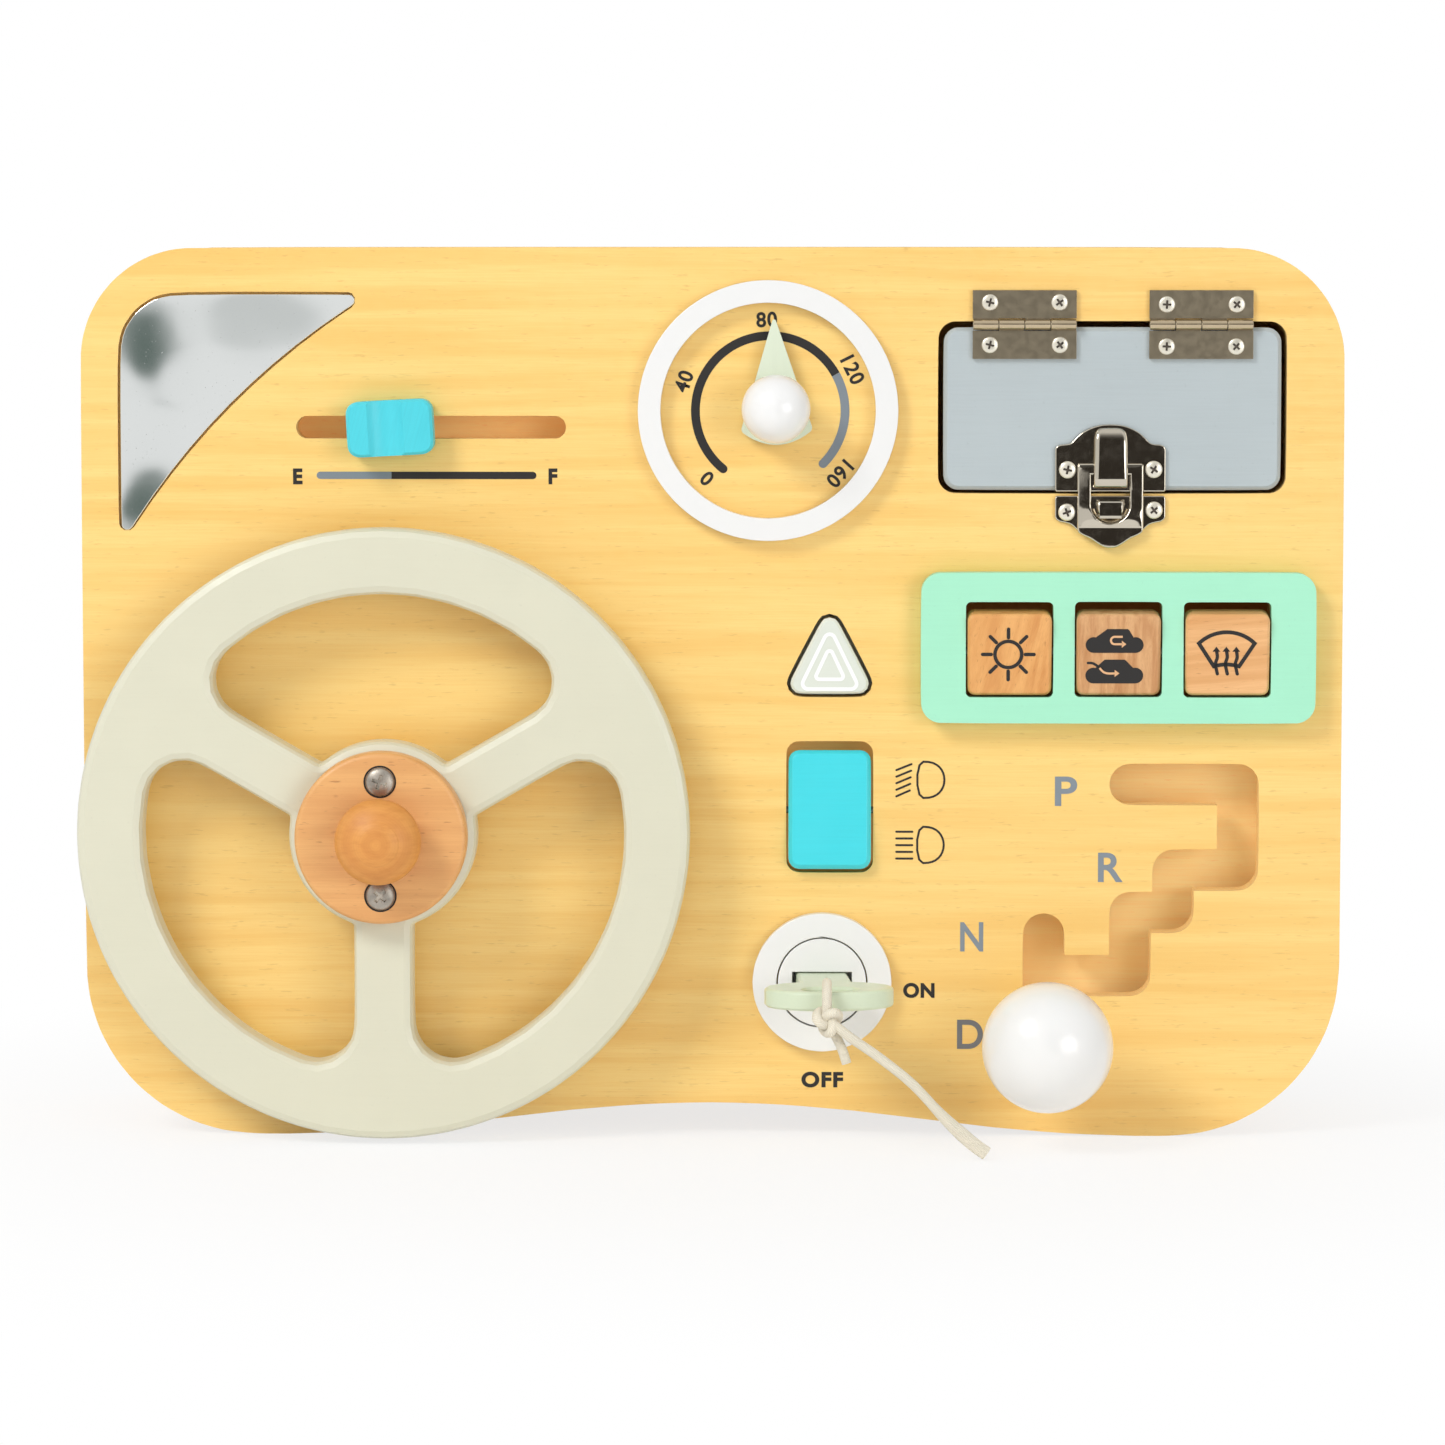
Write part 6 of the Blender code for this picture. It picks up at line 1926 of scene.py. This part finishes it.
@dataclass
class ToggleLatch:
    """The pressed toggle latch: strike and base plates, tongue, link and duckbill lever."""

    u: float = 0.1167
    plate_back: float = 0.0003
    plate_front: float = 0.0012
    plate_edge: float = 0.0004
    screw: Screw = Screw(0.0025, 0.0011, 0.6, BRIGHT, 0.6)
    screw_seat: float = 0.00122
    strike_sides: Line = (
        (0.0157, 0.1905), (0.0162, 0.1910), (0.0162, 0.2030), (0.0156, 0.2039), (0.0145, 0.2043))
    strike_arch: Line = (
        (0.0130, 0.2044), (0.0116, 0.2048), (0.0104, 0.2060), (0.0084, 0.2078), (0.0058, 0.2092),
        (0.0030, 0.2100), (0.0, 0.2102))
    base_arch: Line = (
        (0.0016, 0.1747), (0.0040, 0.1757), (0.0072, 0.1775), (0.0096, 0.1792), (0.0114, 0.1808),
        (0.0132, 0.1814))
    base_foot: Flat = (0.0, 0.1746)
    base_sides: Line = (
        (0.0148, 0.1817), (0.0158, 0.1823), (0.0162, 0.1832), (0.0162, 0.1886), (0.0157, 0.1893))
    lever_point: Line = (
        (0.0, 0.1741), (0.0016, 0.1743), (0.0034, 0.1752), (0.0058, 0.1768), (0.0082, 0.1779),
        (0.0094, 0.1788), (0.0096, 0.1802))
    lever_top: Line = ((0.0096, 0.1983), (0.0091, 0.1988))
    lever_sheet: Point = (0.0016, 0.0026, 0.00046)
    lever_half: float = 0.0096
    lever_levels: Point = (0.1745, 0.1985, 0.0006)
    opening_radius: float = 0.00565
    opening_v: float = 0.18685
    opening_top: float = 0.1955
    bill_from: Flat = (0.1862, 0.0062)
    bill_swell: float = 0.0008
    arms_from: Flat = (0.1835, 0.0115)
    arms_swell: float = 0.0003
    arms_crown: float = 0.64
    top_from: Flat = (0.1958, 0.0030)
    top_dip: float = 0.0004
    rim_radius: float = 0.0051
    rim_w: float = 0.0018
    rim_cord: float = 0.0004
    tongue_half: float = 0.00495
    tongue_rim: float = 0.0010
    tongue_sheet: float = 0.0005
    tongue_foot: tuple[Point, ...] = (
        (0.1916, 0.0013, 1.0), (0.1917, 0.0030, 1.0), (0.1921, 0.0038, 1.0), (0.1928, 0.0043, 1.0),
        (0.1945, 0.0045, 1.0), (0.1970, 0.0045, 0.985), (0.2000, 0.0045, 0.97), (0.2022, 0.0044, 0.96))
    tongue_tip: Flat = (0.0070, 0.0024)
    knuckle_half: float = 0.0040
    knuckle_rim: float = 0.0011
    knuckle_sheet: float = 0.0004
    knuckle_centre: Flat = (0.1855, 0.0024)
    knuckle_reach: Flat = (0.0026, 0.0013)
    strip_steps: int = 12
    strip_columns: int = 20
    screws: tuple[tuple[str, float, float, float, str], ...] = (
        ("strike_left", 1065.7, 467.9, 12, "door"), ("strike_right", 1151.3, 467.5, 33, "door"),
        ("base_left", 1065.2, 510.1, 70, "case"), ("base_right", 1151.8, 508, 50, "case"))

    def whole(self, half: Line) -> list[Flat]:
        """A closed outline at the latch's place from its right half, listed from the bottom up."""
        mirrored = [(-u, v) for u, v in reversed(list(half)) if abs(u) > 1e-9]
        return shifted([*half, *mirrored], self.u, 0.0)

    def plates(self) -> None:
        """Builds the strike on the door and the base on the panel."""
        strike = [*self.strike_sides, *smooth_line(self.strike_arch, 3)]
        base = [self.base_foot, *smooth_line(self.base_arch, 3), *self.base_sides]
        for node, half, body in (("latch_strike", strike, "door"), ("latch_base", base, "case")):
            made = plate(self.whole(half), self.plate_back, self.plate_front, self.plate_edge)
            weigh(finish_piece(made, node + "_plate", POLISHED, body, 50, replaced=node))

    def lever(self) -> None:
        """Builds the duckbill lever: a frame round the link, pressed up into a smooth bill."""
        half = [*smooth_line(self.lever_point, 3), *self.lever_top]
        opening = [(-self.opening_radius, self.opening_top),
                   *bow((0, self.opening_v), self.opening_radius, 180, 360, 20),
                   (self.opening_radius, self.opening_top)]
        made = plate(self.whole(half), *self.lever_sheet, [shifted(opening, self.u, 0.0)])
        cut_levels(made, *self.lever_levels)
        for vertex in made.data.vertices:
            v, across = vertex.co.z, abs(vertex.co.x - self.u) / self.lever_half
            bill = max(0.0, min(1.0, (self.bill_from[0] - v) / self.bill_from[1]))
            arms = max(0.0, min(1.0, (v - self.arms_from[0]) / self.arms_from[1]))
            top = max(0.0, (v - self.top_from[0]) / self.top_from[1]) ** 2
            vertex.co.y -= (self.bill_swell * math.sin(math.pi * bill) * (1 - across ** 2)
                            + self.arms_swell * arms * (1 - self.arms_crown * across ** 2)
                            - self.top_dip * top)
        weigh(finish_piece(made, "latch_lever_frame", POLISHED, "lever", 60, replaced="latch_lever"))
        arc = bow((0, self.opening_v), self.rim_radius, 195, 345, 24)
        rim = tube([(self.u + u, v, self.rim_w) for u, v in arc], [(self.rim_cord, self.rim_cord)], 10)
        # The rim takes the paler nickel: a painted highlight along the opening's edge.
        finish_piece(rim, "latch_inner_rim", BARREL_HIGHLIGHT_NICKEL, "lever", 60)

    def pressed_strip(self, name: str, rows: Sequence[Point], half_width: float, rim: float,
                      thickness: float, body: str) -> None:
        """Builds a pressed strip with its long edges turned down.

        Args:
            name: The piece's name.
            rows: (v, w, share of the half width) from the bottom up.
            half_width: Half its width.
            rim: How far in from an edge the metal turns down.
            thickness: The sheet's thickness.
            body: The body that it moves with.
        """
        columns = self.strip_columns
        bpy.ops.mesh.primitive_grid_add(x_subdivisions=columns, y_subdivisions=len(rows) - 1, size=1)
        made = bpy.context.active_object
        corners = sorted(made.data.vertices, key=lambda vertex: (round(vertex.co.y, 4), vertex.co.x))
        for index, vertex in enumerate(corners):
            row, column = divmod(index, columns + 1)
            v, w, share = rows[row]
            half = half_width * share
            x = half * math.sin((column / columns - 0.5) * math.pi)
            past = max(0.0, (abs(x) - (half - rim)) / rim)
            vertex.co = at(self.u + x, v, w - rim * (1 - math.sqrt(max(0.0, 1 - past ** 2))))
        with editing(made, "FACE"):
            pick_faces(made, lambda middle, normal: normal.y > 0)
            bpy.ops.mesh.flip_normals()
        shell = made.modifiers.new("sheet", "SOLIDIFY")
        shell.thickness = thickness
        shell.offset = -1
        apply_all(made)
        finish_piece(made, name, POLISHED, body, 60)

    def tongue(self) -> None:
        """Builds the strike's tongue: a pressed strip with a rounded tip that dips."""
        rows = list(self.tongue_foot)
        v, w, width = rows[-1]
        for step in range(1, self.strip_steps + 1):
            turn = math.pi / 2 * step / self.strip_steps
            narrowed = width * math.sqrt(max(0.0, 1 - (step / (self.strip_steps + 0.2)) ** 3.2))
            rows.append((v + self.tongue_tip[0] * math.sin(turn),
                         w - self.tongue_tip[1] * (1 - math.cos(turn)), max(0.12, narrowed)))
        self.pressed_strip("latch_tongue", rows, self.tongue_half, self.tongue_rim, self.tongue_sheet, "door")

    def knuckle(self) -> None:
        """Builds the link's knuckle: a pressed strip bowed over the pin."""
        rows = []
        for step in range(self.strip_steps, -1, -1):
            turn = math.pi * step / self.strip_steps
            rows.append((self.knuckle_centre[0] + self.knuckle_reach[0] * math.cos(turn),
                         self.knuckle_centre[1] + self.knuckle_reach[1] * math.sin(turn),
                         math.sqrt(max(0.05, 1 - (max(0.0, step - 4) / 8.6) ** 2))))
        self.pressed_strip("latch_knuckle", rows, self.knuckle_half, self.knuckle_rim, self.knuckle_sheet,
                           "link")

    def build(self) -> None:
        """Builds every piece of the latch and its four screws."""
        dress(NICKEL, "latch_base_pin", "latch_lever_pin")
        dress(POLISHED, "latch_link")
        self.plates()
        self.lever()
        self.tongue()
        self.knuckle()
        head = self.screw.head()
        for name, x, y, turn, body in self.screws:
            self.screw.drive(head, f"latch_{name}_screw", (*spot(x, y), self.screw_seat), turn, body)
        drop(head)


@dataclass(frozen=True)
class Shape:
    """A soft dark shape of the room: where it is seen, how large and how strong."""

    course: Point
    size: Point
    strength: float


@dataclass(frozen=True)
class Lamp:
    """A round soft lamp: where it hangs, how wide it is and its watts."""

    name: str
    place: Point
    size: float
    power: float


@dataclass
class Studio:
    """The camera, the pale floor, the soft room and the two lamps."""

    distance: float = 1.65
    elevation: float = math.radians(5.0)
    azimuth: float = math.radians(1.0)
    aim_pixel: Flat = (722.5, 721.0)
    sensor: float = 36.0
    clips: Flat = (0.05, 30)
    floor_size: float = 12.0
    floor_back: float = 5.1
    floor_colour: Colour = (0.96, 0.96, 0.96, 1.0)
    shadow_reach: Flat = (0.10, 0.36)
    shadow_glow: float = 0.76
    room_light: float = 0.53
    gloss_light: float = 0.82
    dark_ahead: Flat = (0.60, 0.93)
    dark_side: Flat = (-0.06, 0.0)
    dark: Colour = (0.052, 0.046, 0.040, 1.0)
    mirror_dark: Colour = (0.105, 0.150, 0.130, 1.0)
    shape_rim: Flat = (0.7, 1.2)
    shapes: tuple[Shape, ...] = (
        Shape((-0.1196, -0.9927, -0.0195), (0.0056, 0.02, 0.0084), 1.0),
        Shape((-0.1193, -0.9917, -0.0485), (0.0060, 0.02, 0.0068), 1.0),
        Shape((-0.1165, -0.9926, -0.0317), (0.0030, 0.02, 0.0014), 0.3),
        Shape((-0.0990, -0.9950, -0.0150), (0.0110, 0.03, 0.0060), 0.3))
    target: Point = (0, 0, 0.12)
    lamps: tuple[Lamp, ...] = (
        Lamp("key_light", (-1.1, -1.25, 1.40), 0.75, 19.5), Lamp("fill_light", (1.35, -1.75, 0.40), 1.2, 12))

    def place_camera(self) -> None:
        """Puts the camera at the photograph's angle, as wide as the photograph at the board."""
        aim = at(*spot(*self.aim_pixel))
        back = Vector((math.sin(self.azimuth) * math.cos(self.elevation),
                       -math.cos(self.azimuth) * math.cos(self.elevation), math.sin(self.elevation)))
        camera = placed("camera", bpy.data.cameras.new("camera"))
        camera.location = aim + self.distance * back
        camera.rotation_mode = "QUATERNION"
        camera.rotation_quaternion = (-back).to_track_quat("-Z", "Y")
        camera.data.sensor_width = self.sensor
        camera.data.lens = self.sensor * self.distance / (PHOTO_WIDTH * PIXEL)
        camera.data.clip_start, camera.data.clip_end = self.clips
        bpy.context.scene.camera = camera
        bpy.context.scene.view_settings.view_transform = "Standard"

    def lay_floor(self) -> None:
        """Lays a floor that goes to pure white away from the board and keeps its shadow."""
        bpy.ops.mesh.primitive_plane_add(size=self.floor_size, location=(0, self.floor_back, 0))
        floor = bpy.context.active_object
        settle(floor)
        floor.name = "floor"
        look = bpy.data.materials.new("studio_floor")
        look.use_nodes = True
        wiring = Wiring(look.node_tree)
        wiring.shade({"Base Color": self.floor_colour, "Roughness": 0.6, "Specular IOR Level": 0.2})
        glow = wiring.add("ShaderNodeEmission")
        glow.inputs["Color"].default_value = WHITE
        far = wiring.add("ShaderNodeVectorMath", operation="LENGTH")
        wiring.feed(far.inputs[0], wiring.place())
        path = wiring.add("ShaderNodeLightPath")
        seen = wiring.maths("MAXIMUM", path.outputs["Is Camera Ray"], path.outputs["Is Glossy Ray"])
        share = wiring.ramp(far.outputs["Value"], *self.shadow_reach, self.shadow_glow, 1.0)
        share = wiring.maths("MULTIPLY", share, seen)
        both = wiring.either(share, wiring.shader.outputs[0], glow.outputs[0])
        wiring.feed(look.node_tree.nodes["Material Output"].inputs["Surface"], both)
        floor.data.materials.append(look)

    def room_seen_in_gloss(self, wiring: Wiring) -> Socket:
        """The room as metal shows it: pale, dark ahead of the board, with soft dark shapes.

        Args:
            wiring: The world's nodes.

        Returns:
            The colour.
        """
        course = wiring.add("ShaderNodeTexCoord").outputs["Generated"]
        split = wiring.add("ShaderNodeSeparateXYZ")
        wiring.feed(split.inputs[0], course)
        ahead = wiring.ramp(wiring.maths("MULTIPLY", split.outputs[1], -1.0), *self.dark_ahead)
        right = wiring.ramp(split.outputs[0], *self.dark_side)
        colour = wiring.mix(wiring.maths("MULTIPLY", ahead, right), WHITE, self.dark)
        for shape in self.shapes:
            apart = wiring.add("ShaderNodeVectorMath", operation="SUBTRACT")
            wiring.feed(apart.inputs[0], course)
            wiring.feed(apart.inputs[1], shape.course)
            length = wiring.add("ShaderNodeVectorMath", operation="LENGTH")
            inverse = tuple(1 / part for part in shape.size)
            wiring.feed(length.inputs[0], wiring.stretched(apart.outputs[0], inverse))
            shade = wiring.ramp(length.outputs["Value"], *self.shape_rim, shape.strength, 0.0)
            colour = wiring.mix(shade, colour, self.mirror_dark)
        return colour

    def fill_room(self) -> None:
        """Makes the room: white to the camera, plain light on the board, and its own look in gloss."""
        world = bpy.data.worlds.new("studio")
        bpy.context.scene.world = world
        world.use_nodes = True
        wiring = Wiring(world.node_tree)
        room = world.node_tree.nodes["Background"]
        room.inputs["Color"].default_value = WHITE
        room.inputs["Strength"].default_value = self.room_light
        gloss = wiring.add("ShaderNodeBackground")
        wiring.feed(gloss.inputs["Color"], self.room_seen_in_gloss(wiring))
        gloss.inputs["Strength"].default_value = self.gloss_light
        white = wiring.add("ShaderNodeBackground")
        white.inputs["Color"].default_value = WHITE
        path = wiring.add("ShaderNodeLightPath")
        seen = wiring.either(path.outputs["Is Glossy Ray"], room.outputs[0], gloss.outputs[0])
        seen = wiring.either(path.outputs["Is Camera Ray"], seen, white.outputs[0])
        wiring.feed(world.node_tree.nodes["World Output"].inputs["Surface"], seen)

    def hang_lamps(self) -> None:
        """Hangs the round soft lamps, aimed at the board."""
        for lamp in self.lamps:
            data = bpy.data.lights.new(lamp.name, "AREA")
            data.shape = "DISK"
            data.size = lamp.size
            data.energy = lamp.power
            hung = placed(lamp.name, data)
            hung.location = lamp.place
            hung.rotation_mode = "QUATERNION"
            hung.rotation_quaternion = (Vector(self.target) - hung.location).to_track_quat("-Z", "Y")

    def build(self) -> None:
        """Sets up the floor, the room and the lamps."""
        self.lay_floor()
        self.fill_room()
        self.hang_lamps()


def main() -> None:
    logging.basicConfig(level=logging.INFO, format="%(message)s", stream=sys.stdout)
    studio = Studio()
    studio.place_camera()
    for part in (KeyCord(), Case(), FuelSlider(), SpeedDial(), SteeringWheel(), HazardButton(),
                 HeadlightRocker(), SwitchBank(), KeyLock(), GearLever(), GloveBox(), ToggleLatch()):
        log.info("%s", type(part).__name__)
        part.build()
    studio.build()


if __name__ == "__main__":
    main()
